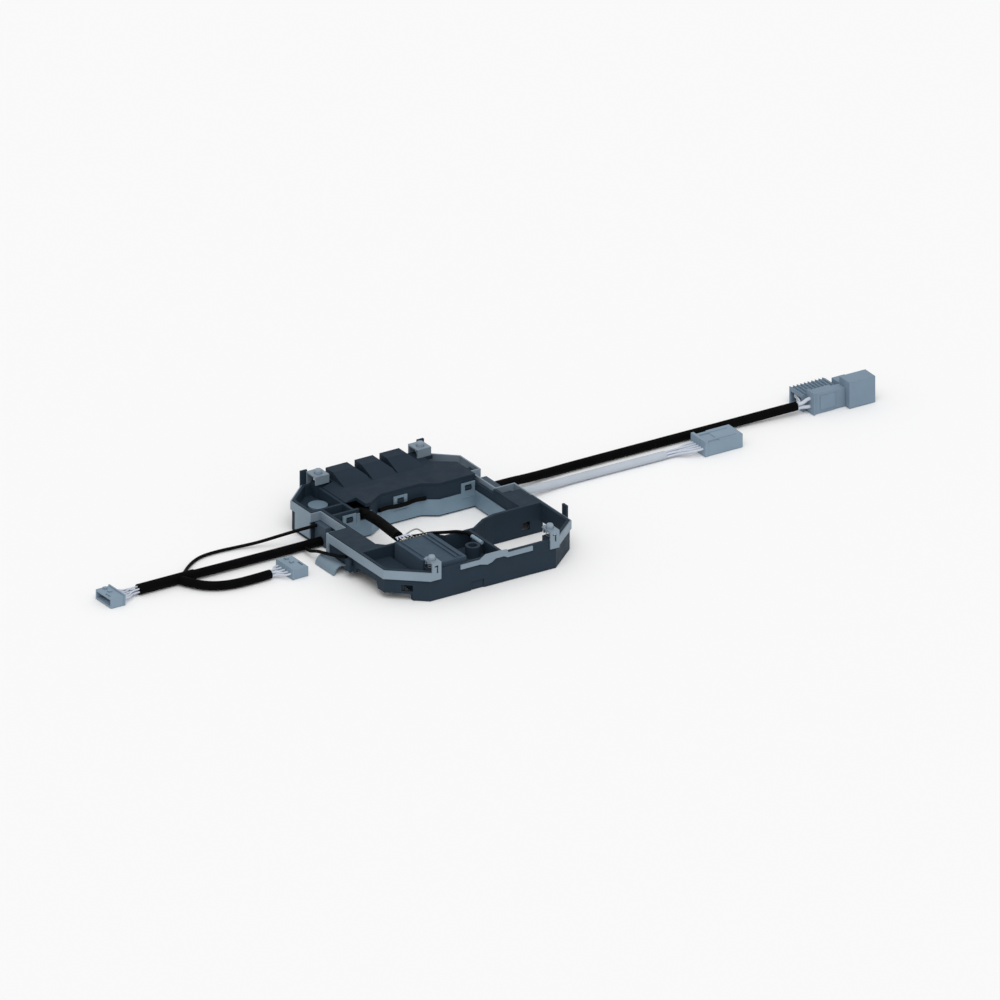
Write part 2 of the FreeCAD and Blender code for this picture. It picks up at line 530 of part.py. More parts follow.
def make_frame():
    body = new_body("carrier_frame")
    half = [("half_width - corner_x", "-half_depth"), ("half_width", "corner_y - half_depth"),
            ("half_width", "notch_front"), (NOTCH_X, "notch_front"), (NOTCH_X, "notch_back"),
            ("rear_half_width", "notch_back"), ("rear_half_width", "half_depth - rear_corner_y"),
            ("rear_half_width - rear_corner_x", "half_depth")]
    pad(body, "frame_block", outline(body, "frame_outline", mirrored(half)), "wall_height")
    add_fingers(body)

    # Central opening, front right bay and cut rear right corner, all open right through
    opening = opening_edge("0") + [
        ("opening_half_width", "-front_right_y"), ("front_right_start", "-front_right_y"),
        ("front_knee_x", "-front_knee_y"), ("front_mid_right", "-front_mid_y"),
        ("-front_mid_left", "-front_mid_y"), ("-front_left_end", "-front_left_y"),
        ("opening_corner - opening_half_width", "-front_left_y"),
        ("-opening_half_width", "opening_corner - front_left_y")]
    right_bay = [("bay_split_x + wall / 2", "-" + FRONT_Y),
                 ("half_width - corner_x - wall / 3", "-" + FRONT_Y),
                 ("half_width - wall", "corner_y - half_depth + wall / 3"),
                 ("half_width - wall", "-front_right_y - wall"),
                 ("front_right_start", "-front_right_y - wall"),
                 ("front_knee_x", "-front_knee_y - wall"), ("front_mid_right", "-front_mid_y - wall"),
                 ("bay_split_x + wall / 2", "-front_mid_y - wall")]
    window = [("corner_window_x", "half_depth + wall / 4"), ("corner_window_x", "corner_window_y"),
              ("corner_window_knee_x", "corner_window_knee_y"),
              ("corner_window_right_x", "corner_window_low_y"),
              ("rear_half_width + wall", "corner_window_low_y"),
              ("rear_half_width + wall", "half_depth + wall / 4")]
    pocket(body, "through_cut", outline(body, "through_outline", [opening, right_bay, window],
                                        "wall_height"),
           "2 * wall_height")

    # Front left bay: a deck beside the module, hollow below, and a well for the module
    left_bay = [("bay_split_x - wall / 2", "-" + FRONT_Y), ("corner_x + wall / 3 - half_width",
                                                            "-" + FRONT_Y),
                ("wall - half_width", "corner_y - half_depth + wall / 3"),
                ("wall - half_width", "-front_left_y - wall"),
                ("-front_left_end", "-front_left_y - wall"),
                ("-front_mid_left", "-front_mid_y - wall"),
                ("bay_split_x - wall / 2", "-front_mid_y - wall")]
    pocket(body, "left_bay_cut", outline(body, "left_bay_outline", left_bay, "wall_height"),
           "wall_height - shelf_height")
    module_well = [("-shelf_right_x", "-" + FRONT_Y), ("bay_split_x - wall / 2", "-" + FRONT_Y),
                   ("bay_split_x - wall / 2", "-front_mid_y - wall"),
                   ("-front_mid_left", "-front_mid_y - wall"),
                   ("-front_left_end", "-front_left_y - wall"),
                   ("-shelf_right_x", "-front_left_y - wall")]
    pocket(body, "module_well_cut", outline(body, "module_well_outline", module_well, "shelf_height"),
           "shelf_height - floor_thickness")
    below_shelf = [("-shelf_right_x - wall", "wall - " + FRONT_Y),
                   ("-shelf_right_x - wall", "-front_left_y - wall"),
                   ("wall - half_width", "-front_left_y - wall"),
                   ("wall - half_width", "corner_y - half_depth + wall / 3")]
    left_pocket = [("-pocket_right_x - wall", "notch_back + wall"), ("-pocket_right_x - wall", FRONT_Y),
                   ("rear_corner_x - rear_half_width + wall / 3", FRONT_Y),
                   ("wall - rear_half_width", "half_depth - rear_corner_y - wall / 3"),
                   ("wall - rear_half_width", "notch_back + wall")]
    below = pocket(body, "deck_hollow", outline(body, "deck_hollow_outline", [below_shelf, left_pocket],
                                                "0"),
                   "shelf_height - wall")
    below.Reversed = True
    pocket(body, "left_pocket_cut", outline(body, "left_pocket_outline", left_pocket, "wall_height"),
           "wall_height - shelf_height")

    # Side arms, hollow from below
    right_arm = frame_box(NOTCH_X, "half_width - wall", "-front_right_y",
                          "notch_front - arm_step_length - wall")
    left_arm = frame_box("wall - half_width", "-" + NOTCH_X, "-front_left_y", "notch_front - wall")
    arms = pocket(body, "arm_hollow", outline(body, "arm_outline", [right_arm, left_arm], "0"),
                  "wall_height - wall")
    arms.Reversed = True
    end_hollow = frame_box(NOTCH_X, "half_width - wall", "notch_front - arm_step_length - 1.5 * wall",
                           "notch_front - wall")
    end = pocket(body, "arm_end_hollow", outline(body, "arm_end_outline", end_hollow, "0"),
                 "arm_step_height - wall")
    end.Reversed = True

    # Rear wire channel and the small well at its left end, open at the top
    channel = [("-pocket_right_x", "lobe_y + wall"), ("-lobe_end - wall / 2", "lobe_y + wall"),
               ("-recess_left - wall / 2", "recess_y + wall"),
               ("recess_right + wall / 2", "recess_y + wall"),
               ("shoulder_x + wall / 2", "shoulder_y + wall"),
               ("opening_half_width", "shoulder_y + wall"),
               ("opening_half_width", "notch_back + wall"),
               ("corner_window_right_x - wall", "notch_back + wall"),
               ("corner_window_right_x - wall", "corner_window_low_y"),
               ("corner_window_knee_x - wall", "corner_window_knee_y - wall"),
               ("corner_window_x - wall", "corner_window_y - wall"), ("corner_window_x - wall", FRONT_Y),
               ("-pocket_right_x", FRONT_Y)]
    well = frame_box("-opening_half_width", "-pocket_right_x - wall", "lobe_y + wall", "notch_back")
    pocket(body, "channel_cut", outline(body, "channel_outline", [channel, well], "wall_height"),
           "wall_height - floor_thickness")

    # Lower walls round the cut rear right corner
    corner_step = [("cover_tongue_x", "half_depth + wall / 4"), ("cover_tongue_x", "cover_cut_y - wall"),
                   ("opening_half_width + wall / 2", "corner_window_low_y"),
                   ("rear_half_width + wall", "corner_window_low_y"),
                   ("rear_half_width + wall", "half_depth + wall / 4")]
    pocket(body, "corner_step_cut", outline(body, "corner_step_outline", corner_step, "wall_height"),
           "wall_height - corner_step_height")

    # Lower walls round the right notch and the arm's end beside it
    notch_edge = frame_box("opening_half_width - wall / 2", "rear_half_width + wall",
                           "notch_front - wall / 2",
                           "corner_window_low_y")
    pocket(body, "notch_wall_cut", outline(body, "notch_wall_outline", notch_edge, "wall_height"),
           "wall_height - notch_wall_top")
    arm_end = frame_box(NOTCH_X, "half_width + wall", "notch_front - arm_step_length",
                        "notch_front + wall / 4")
    pocket(body, "arm_step_cut", outline(body, "arm_step_outline", arm_end, "wall_height"),
           "wall_height - arm_step_height")

    # Small window from the right bay into its arm, and a shallow recess in the front wall
    bay_light = frame_box("bay_window_x - bay_window / 2", "bay_window_x + bay_window / 2",
                          "bay_window_low",
                          "bay_window_low + bay_window")
    pocket(body, "bay_window_cut", outline(body, "bay_window_outline", bay_light,
                                           "front_right_y + 1.5 * wall", "XZ_Plane"), "2 * wall")
    recess = frame_box("-front_recess_left - front_recess_width", "-front_recess_left", "-wall",
                       "front_recess_height")
    pocket(body, "front_recess_cut", outline(body, "front_recess_outline", recess,
                                             "half_depth + wall / 4",
                                             "XZ_Plane"), "front_recess_depth + wall / 4")

    # Right wall: a window low in front and a dip behind it
    side_window = frame_box("-front_right_y - wall - side_window_length", "-front_right_y - wall",
                            "-wall", "side_window_height")
    dip = frame_box("notch_front - side_dip_length - wall", "notch_front + wall",
                    "wall_height - side_dip",
                    "wall_height + wall")
    pocket(body, "right_wall_cut", outline(body, "right_wall_outline", [side_window, dip],
                                           "half_width + wall / 2",
                                           "YZ_Plane"), "1.5 * wall")

    # Left wall: raised lower edge with an arch
    over_guide = "guide_radius + strip_gap"
    guide_end = "-guide_y - guide_length / 2 - wall"
    lift = [("-left_lift_front", "-wall"), ("notch_front + wall", "-wall"),
            ("notch_front + wall", over_guide),
            (guide_end, over_guide), (guide_end, "left_lift"), ("-left_arch_back", "left_lift"),
            ("-left_arch_back - wall", "left_arch"),
            ("wall - left_arch_front", "left_arch"), ("-left_arch_front", "left_lift"),
            ("-left_lift_front", "left_lift")]
    pocket(body, "left_lift_cut", outline(body, "left_lift_outline", lift, "-" + NOTCH_X, "YZ_Plane"),
           "half_width")

    # Passages for the wires
    neck = frame_box("neck_y - block_neck / 2", "neck_y + block_neck / 2",
                     "neck_z - block_neck / 2", "neck_z + block_neck / 2")
    pocket(body, "left_neck_cut", outline(body, "left_neck_outline", neck, "wall - pocket_right_x",
                                          "YZ_Plane"),
           "opening_half_width - pocket_right_x + 2.5 * wall")
    pocket(body, "right_neck_cut", outline(body, "right_neck_outline", neck, "%s + wall / 4" % NOTCH_X,
                                           "YZ_Plane"),
           "1.5 * wall")
    crossing = frame_box("-crossover_x - crossover / 2 - slot_clearance",
                         "-crossover_x + crossover / 2 + slot_clearance",
                         "crossover_z - crossover / 2 - slot_clearance", "wall_height + wall")
    pocket(body, "crossover_slot", outline(body, "crossover_slot_outline", crossing, "-lobe_y",
                                           "XZ_Plane"),
           "2.5 * wall", midplane=True)

    # Window in the front left corner wall, square to that wall
    corner_run = "(corner_x / sqrt(corner_x^2 + corner_y^2))"
    corner_rise = "(corner_y / sqrt(corner_x^2 + corner_y^2))"
    middle_x = "(corner_x / 2 - half_width)"
    middle_y = "(corner_y / 2 - half_depth)"
    half_light = "corner_light_width / 2"
    light = [("%s + %s * %s + %s * %s" % (middle_x, i, corner_run, j, corner_rise),
              "%s - %s * %s + %s * %s" % (middle_y, i, corner_rise, j, corner_run))
             for i, j in ((half_light, "2 * wall"), (half_light, "-2 * wall"),
                          ("-" + half_light, "-2 * wall"), ("-" + half_light, "2 * wall"))]
    pocket(body, "corner_light_cut", outline(body, "corner_light_outline", light, "corner_light_high"),
           "corner_light_high - corner_light_low")

    # Bosses below the contact pins
    front_bosses = [boss_outline("-front_tower_left_x", "front"),
                    boss_outline("front_tower_right_x", "front")]
    pad(body, "front_bosses", outline(body, "front_boss_outline", front_bosses, "wall_height / 2"),
        "wall_height / 2")
    lugs = [frame_box("%s - tab_window / 2 + strip_gap" % x, "%s + tab_window / 2 - strip_gap" % x,
                      "%s - lug_reach" % y, "%s + wall / 2" % y)
            for x, y in (("-tab_left_x", "lobe_y"), ("tab_middle_x", "recess_y"),
                         ("tab_right_x", "shoulder_y"))]
    pad(body, "catch_lugs", outline(body, "catch_lug_outline", lugs,
                                    "band_top + tab_rise / 2 - tab_window_height / 4"),
        "tab_window_height / 2")
    pad(body, "rear_boss", outline(body, "rear_boss_outline", boss_outline("-rear_tower_left_x", "rear"),
                                   "wall_height / 2"), "wall_height / 2 + cover_thick")
    return body


def boss_outline(x, end):
    """A square boss that reaches from the front or rear wall to below a contact pin."""
    sign = "-" if end == "front" else ""
    return frame_box("%s - boss_radius" % x, "%s + boss_radius" % x, "%s(half_depth - wall)" % sign,
                     "%s(half_depth - pin_inset - boss_radius)" % sign)


def finger_outline(x0, x1, y, axis):
    """A finger's section, between two distances from the centre across a wall, centred along it."""
    low, high = "%s - finger_width / 2" % y, "%s + finger_width / 2" % y
    return frame_box(x0, x1, low, high) if axis == "x" else frame_box(low, high, x0, x1)


def add_fingers(body):
    """Snap fingers outside the walls, each on a root."""
    spots = [("half_width", "-front_finger_y", "x", "+"), ("-half_width", "-left_finger_y", "x", "-"),
             ("half_depth", "-rear_finger_left_x", "y", "+"),
             ("half_depth", "rear_finger_right_x", "y", "+")]
    roots = []
    stems = []
    for face, along, axis, out in spots:
        outer = "%s %s (finger_gap + finger_thick)" % (face, out)
        roots.append(finger_outline("%s %s (0 - wall / 2)" % (face, out), outer, along, axis))
        stems.append(finger_outline("%s %s finger_gap" % (face, out), outer, along, axis))
    pad(body, "finger_roots", outline(body, "finger_root_outline", roots, "finger_bottom"), "finger_root")
    for name, profiles, top in (("front_right_finger", [stems[0]], "front_finger_top"),
                                ("front_left_finger", [stems[1]], "left_finger_top"),
                                ("rear_fingers", stems[2:], "rear_finger_top")):
        pad(body, name, outline(body, name + "_outline", profiles, "finger_bottom"),
            "%s - finger_bottom" % top)


node("carrier_frame", make_frame())


# Rear channel cover with its three wedge humps

def make_cover():
    body = new_body("rear_channel_cover")
    back = "half_depth"
    plate = [("-cover_left_x", "lobe_y"), ("-lobe_end", "lobe_y"), ("-recess_left", "recess_y"),
             ("recess_right", "recess_y"), ("shoulder_x", "shoulder_y"),
             ("opening_half_width", "shoulder_y"),
             ("opening_half_width", "cover_cut_low_y"), ("cover_cut_x", "cover_cut_y"),
             ("cover_cut_x", "half_depth - cover_tongue_depth"),
             ("cover_tongue_x", "half_depth - cover_tongue_depth"), ("cover_tongue_x", back),
             ("-cover_left_x", back)]
    pad(body, "cover_plate", outline(body, "cover_outline", plate, "wall_height"), "cover_thick")
    ramp = [("-cover_left_x", "wall_height"), ("-cover_left_x", "wall_height + cover_thick"),
            ("-cover_left_x - cover_ramp", "wall_height + cover_thick / 4"),
            ("-cover_left_x - cover_ramp", "wall_height")]
    pad(body, "cover_ramp", outline(body, "cover_ramp_outline", ramp,
                                    "-(half_depth - pin_inset - boss_radius - wall)",
                                    "XZ_Plane"),
        "half_depth - pin_inset - boss_radius - wall - notch_back")
    crest = "wall_height + cover_thick"
    wedge = [(back, crest), (back, crest + " + hump_height"),
             (back + " - hump_crest", crest + " + hump_height"),
             (back + " - hump_length", crest)]
    for name, left, width in (("one", "-hump_one_left", "hump_one_width"),
                              ("two", "-hump_two_left", "hump_two_width"),
                              ("three", "hump_three_left", "hump_three_width")):
        sketch = outline(body, "hump_%s_outline" % name, wedge, left, "YZ_Plane")
        pad(body, "hump_" + name, sketch, width)
        right, top = "%s + %s" % (left, width), crest + " + hump_height"
        flank = [(right + " - hump_flank", top), (right, top + " - hump_flank_drop"),
                 (right + " + wall / 4", top + " - hump_flank_drop"),
                 (right + " + wall / 4", top + " + wall"),
                 (right + " - hump_flank", top + " + wall")]
        sketch = outline(body, "hump_%s_flank_outline" % name, flank,
                         "-(half_depth - hump_length - wall)",
                         "XZ_Plane")
        pocket(body, "hump_%s_flank" % name, sketch, "hump_length + 2 * wall")
    return body


node("rear_channel_cover", make_cover())


# Folded contact strips

def tower(name, x, end, top, width, leg_width, leg_drop):
    """A folded contact tower: outer plate, shelf with a round hole, inner leg."""
    sign = "-" if end == "front" else ""
    face = "(half_depth + strip_gap)"
    near, far = "%s(%s)" % (sign, face), "%s(%s + strip)" % (sign, face)
    deep = "%s(half_depth - tower_depth)" % sign
    low_y, high_y = (far, near) if end == "front" else (near, far)
    plate = block(name + "_plate", "%s - %s / 2" % (x, width), "%s + %s / 2" % (x, width), low_y, high_y,
                  "strip_top - strip_height", top)
    y0, y1 = (far, deep) if end == "front" else (deep, far)
    shelf = block(name + "_shelf", "%s - %s / 2" % (x, width), "%s + %s / 2" % (x, width), y0, y1,
                  "%s - strip" % top, top)
    y0, y1 = (deep, deep + " + strip") if end == "front" else (deep + " - strip", deep)
    leg = block(name + "_leg", "%s - %s / 2" % (x, leg_width), "%s + %s / 2" % (x, leg_width), y0, y1,
                "%s - %s" % (top, leg_drop), top)
    hole = rod(name + "_hole", x, "%s(half_depth - pin_inset)" % sign, "%s - 2 * strip" % top,
               "pin_radius + pin_clearance", "3 * strip")
    slots = [block(name + "_slot_up", x, "%s + tower_slot" % x, "%s - strip" % low_y,
                   "%s + strip" % high_y,
                   "%s - 7 * tower_slot" % top, "%s - 2 * tower_slot" % top),
             block(name + "_slot_side", "%s - 1.5 * tower_slot" % x, "%s + tower_slot / 2" % x,
                   "%s - strip" % low_y, "%s + strip" % high_y, "%s - 3 * tower_slot" % top,
                   "%s - 2 * tower_slot" % top)]
    return [plate, shelf, leg], [hole] + slots


OUT = "(half_width + strip_gap)"
REAR_OUT = "(rear_half_width + strip_gap)"
DEPTH_OUT = "(half_depth + strip_gap)"
NOTCH_OUT = "(%s + strip_gap)" % NOTCH_X


def side_path(sign):
    """The run of a strip from the front corner round the side and its notch to the rear corner."""
    side = [("half_width - corner_x", "-" + DEPTH_OUT), (OUT, "corner_y - half_depth"),
            (OUT, "notch_front + strip_gap"), (NOTCH_OUT, "notch_front + strip_gap"),
            (NOTCH_OUT, "notch_back - strip_gap"), (REAR_OUT, "notch_back - strip_gap"),
            (REAR_OUT, "half_depth - rear_corner_y"), ("rear_half_width - rear_corner_x", DEPTH_OUT)]
    return [("%s(%s)" % (sign, x), y) for x, y in side]


def make_rail(side):
    name = side + "_contact_rail"
    sign = "-" if side == "left" else ""
    path = [("%sfront_tower_%s_x" % (sign, side), "-" + DEPTH_OUT)] + side_path(sign)
    path.append(("%srear_tower_%s_x" % (sign, side), DEPTH_OUT))
    strip = strip_on_edge(name + "_strip", path, "strip_top - strip_height", "strip_top",
                          "-strip" if side == "left" else "strip")
    solids, holes = [strip], []
    for end, top, width, leg_width, drop in (("front", "front_tower_top", "tower_width",
                                              "tower_width / 2", "leg_drop"),
                                             ("rear", "rear_tower_top", "rear_tower_width",
                                              "rear_tower_width",
                                              "rear_leg_drop")):
        x = "%s%s_tower_%s_x" % (sign, end, side)
        pieces, cuts = tower("%s_%s_tower" % (side, end), x, end, top, width, leg_width, drop)
        solids += pieces
        holes += cuts
    if side == "left":
        skirt = block(name + "_skirt", "-%s - strip" % REAR_OUT, "-" + REAR_OUT, "notch_back",
                      "notch_back + skirt_length", "strip_top - strip_height - skirt_drop", "strip_top")
        leg = block(name + "_leg", "-%s - strip" % OUT, "-" + OUT,
                    "notch_front - leg_width + strip_gap + strip",
                    "notch_front + strip_gap + strip", "strip_top - leg_length", "strip_top")
        solids += [skirt, leg]
    return less(name, joined(name + "_whole", solids), holes)


for side in ("left", "right"):
    node(side + "_contact_rail", make_rail(side))


def make_front_strip():
    """A flat strip on the front wall whose middle is stepped up over the wall's edge."""
    body = new_body("front_contact_strip")
    low, high = "(strip_top - front_strip_height)", "strip_top"
    up = "front_step_rise"
    points = [("-front_strip_left", low), ("-front_step_left", low),
              ("-front_step_left + 2 * %s" % up, "%s - %s / 2" % (low, up)),
              ("-%s / 2" % up, "%s - %s / 6" % (low, up)), (up + " / 2", "%s + %s / 2" % (low, up)),
              ("front_step_right - %s" % up, "%s + %s / 2" % (low, up)), ("front_step_right", low),
              ("front_strip_right", low), ("front_strip_right", high),
              ("front_step_right + %s / 4" % up, high),
              ("front_step_right", "%s + %s * 0.8" % (high, up)),
              ("front_step_right / 2", "%s + %s" % (high, up)),
              ("-front_step_left + 1.6 * %s" % up, "%s + %s" % (high, up)), ("-front_step_left", high),
              ("-front_strip_left", high)]
    sketch = outline(body, "front_strip_outline", points, DEPTH_OUT, "XZ_Plane")
    pad(body, "front_strip_blank", sketch, "strip")
    return body


node("front_contact_strip", make_front_strip())


def make_band():
    """The folded band inside the central opening with clip windows and a taller plate at the lobe."""
    gap = "strip_gap"
    side = "(opening_half_width - strip_gap)"
    path = [("-" + side, "opening_corner - front_left_y + wall")] + opening_edge(gap)
    path.append((side, "wall / 2 - front_right_y"))
    solids = [strip_on_edge("inner_band_strip", path, "band_bottom", "band_top")]
    holes = []
    for name, x, y in (("left", "-tab_left_x", "lobe_y"), ("middle", "tab_middle_x", "recess_y"),
                       ("right", "tab_right_x", "shoulder_y")):
        back, front = "%s - strip_gap" % y, "%s - strip_gap - strip" % y
        solids.append(block("inner_band_%s_tab" % name, x + " - tab_width / 2", x + " + tab_width / 2",
                            front, back,
                            "band_bottom + strip", "band_top + tab_rise"))
        holes.append(block("inner_band_%s_hole" % name, x + " - tab_window / 2", x + " + tab_window / 2",
                           front + " - strip", back + " + strip",
                           "band_top + tab_rise / 2 - tab_window_height / 2",
                           "band_top + tab_rise / 2 + tab_window_height / 2"))
        solids.append(block("inner_band_%s_rib" % name, x + " - tab_width / 2", x + " + tab_width / 2",
                            front + " - strip / 3", front + " + strip / 3",
                            "band_top - rib_drop - strip / 2",
                            "band_top - rib_drop"))
    solids.append(block("inner_band_lobe", "-lobe_plate_left", "-lobe_end", "lobe_y - strip_gap - strip",
                        "lobe_y - strip_gap", "band_bottom + strip", "band_lobe_top"))
    holes.append(block("inner_band_crossing", "-crossover_x - crossover / 2 - slot_clearance",
                       "-crossover_x + crossover / 2 + slot_clearance", "lobe_y - 4 * strip",
                       "lobe_y + strip",
                       "crossover_z - crossover / 2 - slot_clearance", "band_lobe_top + strip"))
    return less("inner_shield_band", joined("inner_band_whole", solids), holes)


node("inner_shield_band", make_band())


def make_guide():
    """A half-round trough turned upside down, with a flange under the left wall."""
    axis_x = "-half_width - guide_radius + 2 * wall"
    start = "-guide_y - guide_length / 2"
    shell = less("guide_shell", rod("guide_outer", axis_x, start, "0", "guide_radius", "guide_length",
                                    "y"),
                 [rod("guide_inner", axis_x, start + " - 1", "0", "guide_radius - guide_thick",
                      "guide_length + 2", "y"),
                  block("guide_below", "%s - 2 * guide_radius" % axis_x, "%s + 2 * guide_radius" % axis_x,
                        start + " - 1", start + " + guide_length + 1", "-2 * guide_radius", "0")])
    flange = block("guide_flange_plate", "%s + guide_radius - 2 * wall" % axis_x,
                   "%s + guide_radius - 2 * wall + guide_flange" % axis_x, start + " + guide_length / 4",
                   start + " + 3 * guide_length / 4", "left_lift - strip_gap - guide_thick",
                   "left_lift - strip_gap")
    clear = rod("guide_clear", axis_x, start + " - 1", "0", "guide_radius - guide_thick",
                "guide_length + 2", "y")
    return less("left_wire_guide", joined("guide_whole", [shell, flange]), [clear])


node("left_wire_guide", make_guide())
node("rear_left_contact_disc", rod("contact_disc", "-disc_x", "disc_y", "shelf_height", "disc_radius",
                                   "disc_height"))


# Sprung contact pins

PINS = {"front_left": ("-front_tower_left_x", "pin_inset - half_depth", "front_tower_top", "wall_height"),
        "front_right": ("front_tower_right_x", "pin_inset - half_depth", "front_tower_top",
                        "wall_height"),
        "rear_left": ("-rear_tower_left_x", "half_depth - pin_inset", "rear_tower_top",
                      "wall_height + cover_thick"),
        "rear_right": ("rear_tower_right_x", "half_depth - pin_inset", "rear_tower_top",
                       "wall_height + cover_thick")}


def make_pin(corner, x, y, top):
    body = new_body(corner + "_contact_pin")
    flange_top = "%s - strip - seat_gap" % top
    flange_low = flange_top + " - pin_flange_thick"
    head = "%s + pin_rise" % top
    profile = [("0", flange_low), ("pin_flange_radius", flange_low), ("pin_flange_radius", flange_top),
               ("pin_radius", flange_top), ("pin_radius", head + " - pin_dome"),
               ("pin_radius - 0.3 * pin_dome", head + " - 0.3 * pin_dome"),
               ("pin_radius - pin_dome", head),
               ("0", head)]
    sketch = outline(body, corner + "_pin_profile", profile, "0", "XZ_Plane")
    turned = body.newObject("PartDesign::Revolution", corner + "_pin_turned")
    turned.Profile = sketch
    turned.ReferenceAxis = (sketch, ["V_Axis"])
    turned.Angle = 360
    body.Tip = turned
    tie(body, Placement__Base__x=x, Placement__Base__y=y)
    return body


for corner, (x, y, top, seat) in PINS.items():
    node(corner + "_contact_pin", make_pin(corner, x, y, top))


# Electronics module and its neighbours in the front left bay

def shell_outline(inset):
    """The module's plan, moved inwards by an inset, with a notch beside the front left boss."""
    left, right = "%s - module_left" % inset, "-module_right - %s" % inset
    front, back = "%s - module_front" % inset, "-module_back - %s" % inset
    step_x, step_y = "%s - module_step_x" % inset, "%s - module_step_y" % inset
    return [(left, step_y), (step_x, step_y), (step_x, front), (right, front), (right, back),
            (left, back)]


def make_module_base():
    body = new_body("module_base")
    pad(body, "base_block", outline(body, "base_outline", shell_outline("0"), "floor_thickness"),
        "module_split - floor_thickness")
    pocket(body, "base_hollow", outline(body, "base_hollow_outline", shell_outline("module_wall"),
                                        "module_split"),
           "module_split - floor_thickness - module_wall")
    posts = [frame_box(x, x + " + 2 * module_wall", y, y + " + 2 * module_wall")
             for x, y in (("module_wall / 2 - module_left", "module_wall / 2 - module_step_y"),
                          ("module_wall / 2 - module_left", "-module_back - 2.5 * module_wall"),
                          ("-module_right - 2.5 * module_wall", "module_wall / 2 - module_front"),
                          ("-module_right - 2.5 * module_wall", "-module_back - 2.5 * module_wall"))]
    pad(body, "board_posts", outline(body, "board_post_outline", posts,
                                     "floor_thickness + module_wall / 2"),
        "board_height - floor_thickness - module_wall / 2")
    return body


def make_module_cover():
    body = new_body("module_cover")
    pad(body, "lid_block", outline(body, "lid_outline", shell_outline("0"), "module_split"),
        "module_top - module_split")
    ridges = [frame_box("%s - ridge_width" % x, x, y + " + ridge_width",
                        "-module_back - module_wall - 2 * terminal_radius")
              for x, y in (("-module_right - 2 * ridge_width", "-module_front"),
                           ("-module_right - 4.5 * ridge_width", "-module_front"),
                           ("-module_left + 3 * ridge_width", "-module_step_y"))]
    pad(body, "lid_ridges", outline(body, "lid_ridge_outline", ridges, "module_top - ridge_height"),
        "2 * ridge_height")
    hollow = pocket(body, "lid_hollow", outline(body, "lid_hollow_outline", shell_outline("module_wall"),
                                                "module_split"),
                    "module_top - module_split - module_wall")
    hollow.Reversed = True
    return body


node("module_base", make_module_base())
node("module_cover", make_module_cover())
board = new_body("module_circuit_board")
pad(board, "board_blank", outline(board, "board_outline", shell_outline("(module_wall + module_lip)"),
                                  "board_height"),
    "board_thick")
node("module_circuit_board", board)

terminal = rod("first_terminal", "-module_left + 2 * module_wall + terminal_radius",
               "-module_back - module_wall", "module_top", "terminal_radius", "terminal_rise")
terminals = doc.addObject("Part::Feature", "terminal_row")
doc.recompute()
row = []
for i in range(int(size("terminal_rows"))):
    copy = terminal.Shape.copy()
    copy.translate(FreeCAD.Vector(i * size("terminal_pitch"), 0, 0))
    row.append(copy)
terminals.Shape = Part.makeCompound(row)
node("module_terminal_pins", terminals)


def make_holder():
    """A dark block with a round post and a rest for the light terminal sleeve."""
    left, right = "-module_right + 2 * wall", "bay_split_x - wall / 2 - module_lip"
    front, back = "wall + pin_inset - half_depth", "-front_mid_y - 3 * wall"
    post_x, post_y = "(%s + %s) / 2 + wall" % (left, right), "(%s + %s) / 2" % (front, back)
    base = block("holder_base", left, right, front, back, "floor_thickness", "holder_top")
    post = rod("holder_round", post_x, post_y, "floor_thickness", "holder_post_radius",
               "holder_post - floor_thickness")
    rest = block("holder_rest", right + " - terminal_sleeve", right,
                 "-terminal_sleeve_y - terminal_sleeve_length + wall / 2",
                 "-terminal_sleeve_y - wall / 2",
                 "floor_thickness", "terminal_sleeve_z - terminal_sleeve / 2")
    well = rod("holder_round_well", post_x, post_y, "holder_top", "holder_post_radius - wall",
               "holder_post")
    return less("terminal_holder", joined("holder_whole", [base, post, rest]), [well])


node("bay_terminal_holder", make_holder())
node("bay_terminal_sleeve",
     rod("light_sleeve", "bay_split_x - wall / 2 - module_lip - terminal_sleeve / 2",
                                "-terminal_sleeve_y - terminal_sleeve_length", "terminal_sleeve_z",
                                "terminal_sleeve / 2", "terminal_sleeve_length", "y"))


# Blocks that hold the cables in the notches

def make_cable_block(side):
    sign = "-" if side == "left" else ""
    outer = "%s(%s + strip_gap + %s_block_reach)" % (sign, NOTCH_X, side)
    near, deep = "%s(%s + strip_gap)" % (sign, NOTCH_X), "%s(opening_half_width - strip_gap)" % sign
    low = "strip_gap" if side == "left" else "right_block_bottom"
    ends = [outer, near] if side == "left" else [near, outer]
    body = block(side + "_block_body", ends[0], ends[1], side + "_block_front", side + "_block_back", low,
                 side + "_block_top")
    ends = [outer, deep] if side == "left" else [deep, outer]
    neck = block(side + "_block_neck", ends[0], ends[1], "neck_y - block_neck / 2 + strip_gap",
                 "neck_y + block_neck / 2 - strip_gap", "neck_z - block_neck / 2 + strip_gap",
                 "neck_z + block_neck / 2 - strip_gap")
    if side == "left":
        return joined("left_block_whole", [body, neck])
    cables = (("black", "cable_black_y", "sleeve"), ("white", "cable_white_y", "white_cable"))
    rings = [rod(cable + "_collar", outer, y, "cable_right_z", "%s / 2 + collar_wall" % width, "wall",
                 "x")
             for cable, y, width in cables]
    bores = [rod(cable + "_bore", outer, y, "cable_right_z", "%s / 2 + strip_gap" % width, "2 * wall",
                 "x")
             for cable, y, width in cables]
    return less("right_block_cut", joined("right_block_whole", [body, neck] + rings), bores)


for side in ("left", "right"):
    node(side + "_cable_block", make_cable_block(side))


# Wires, sleeves and cables, each a round tube along straight runs joined by tangent arcs

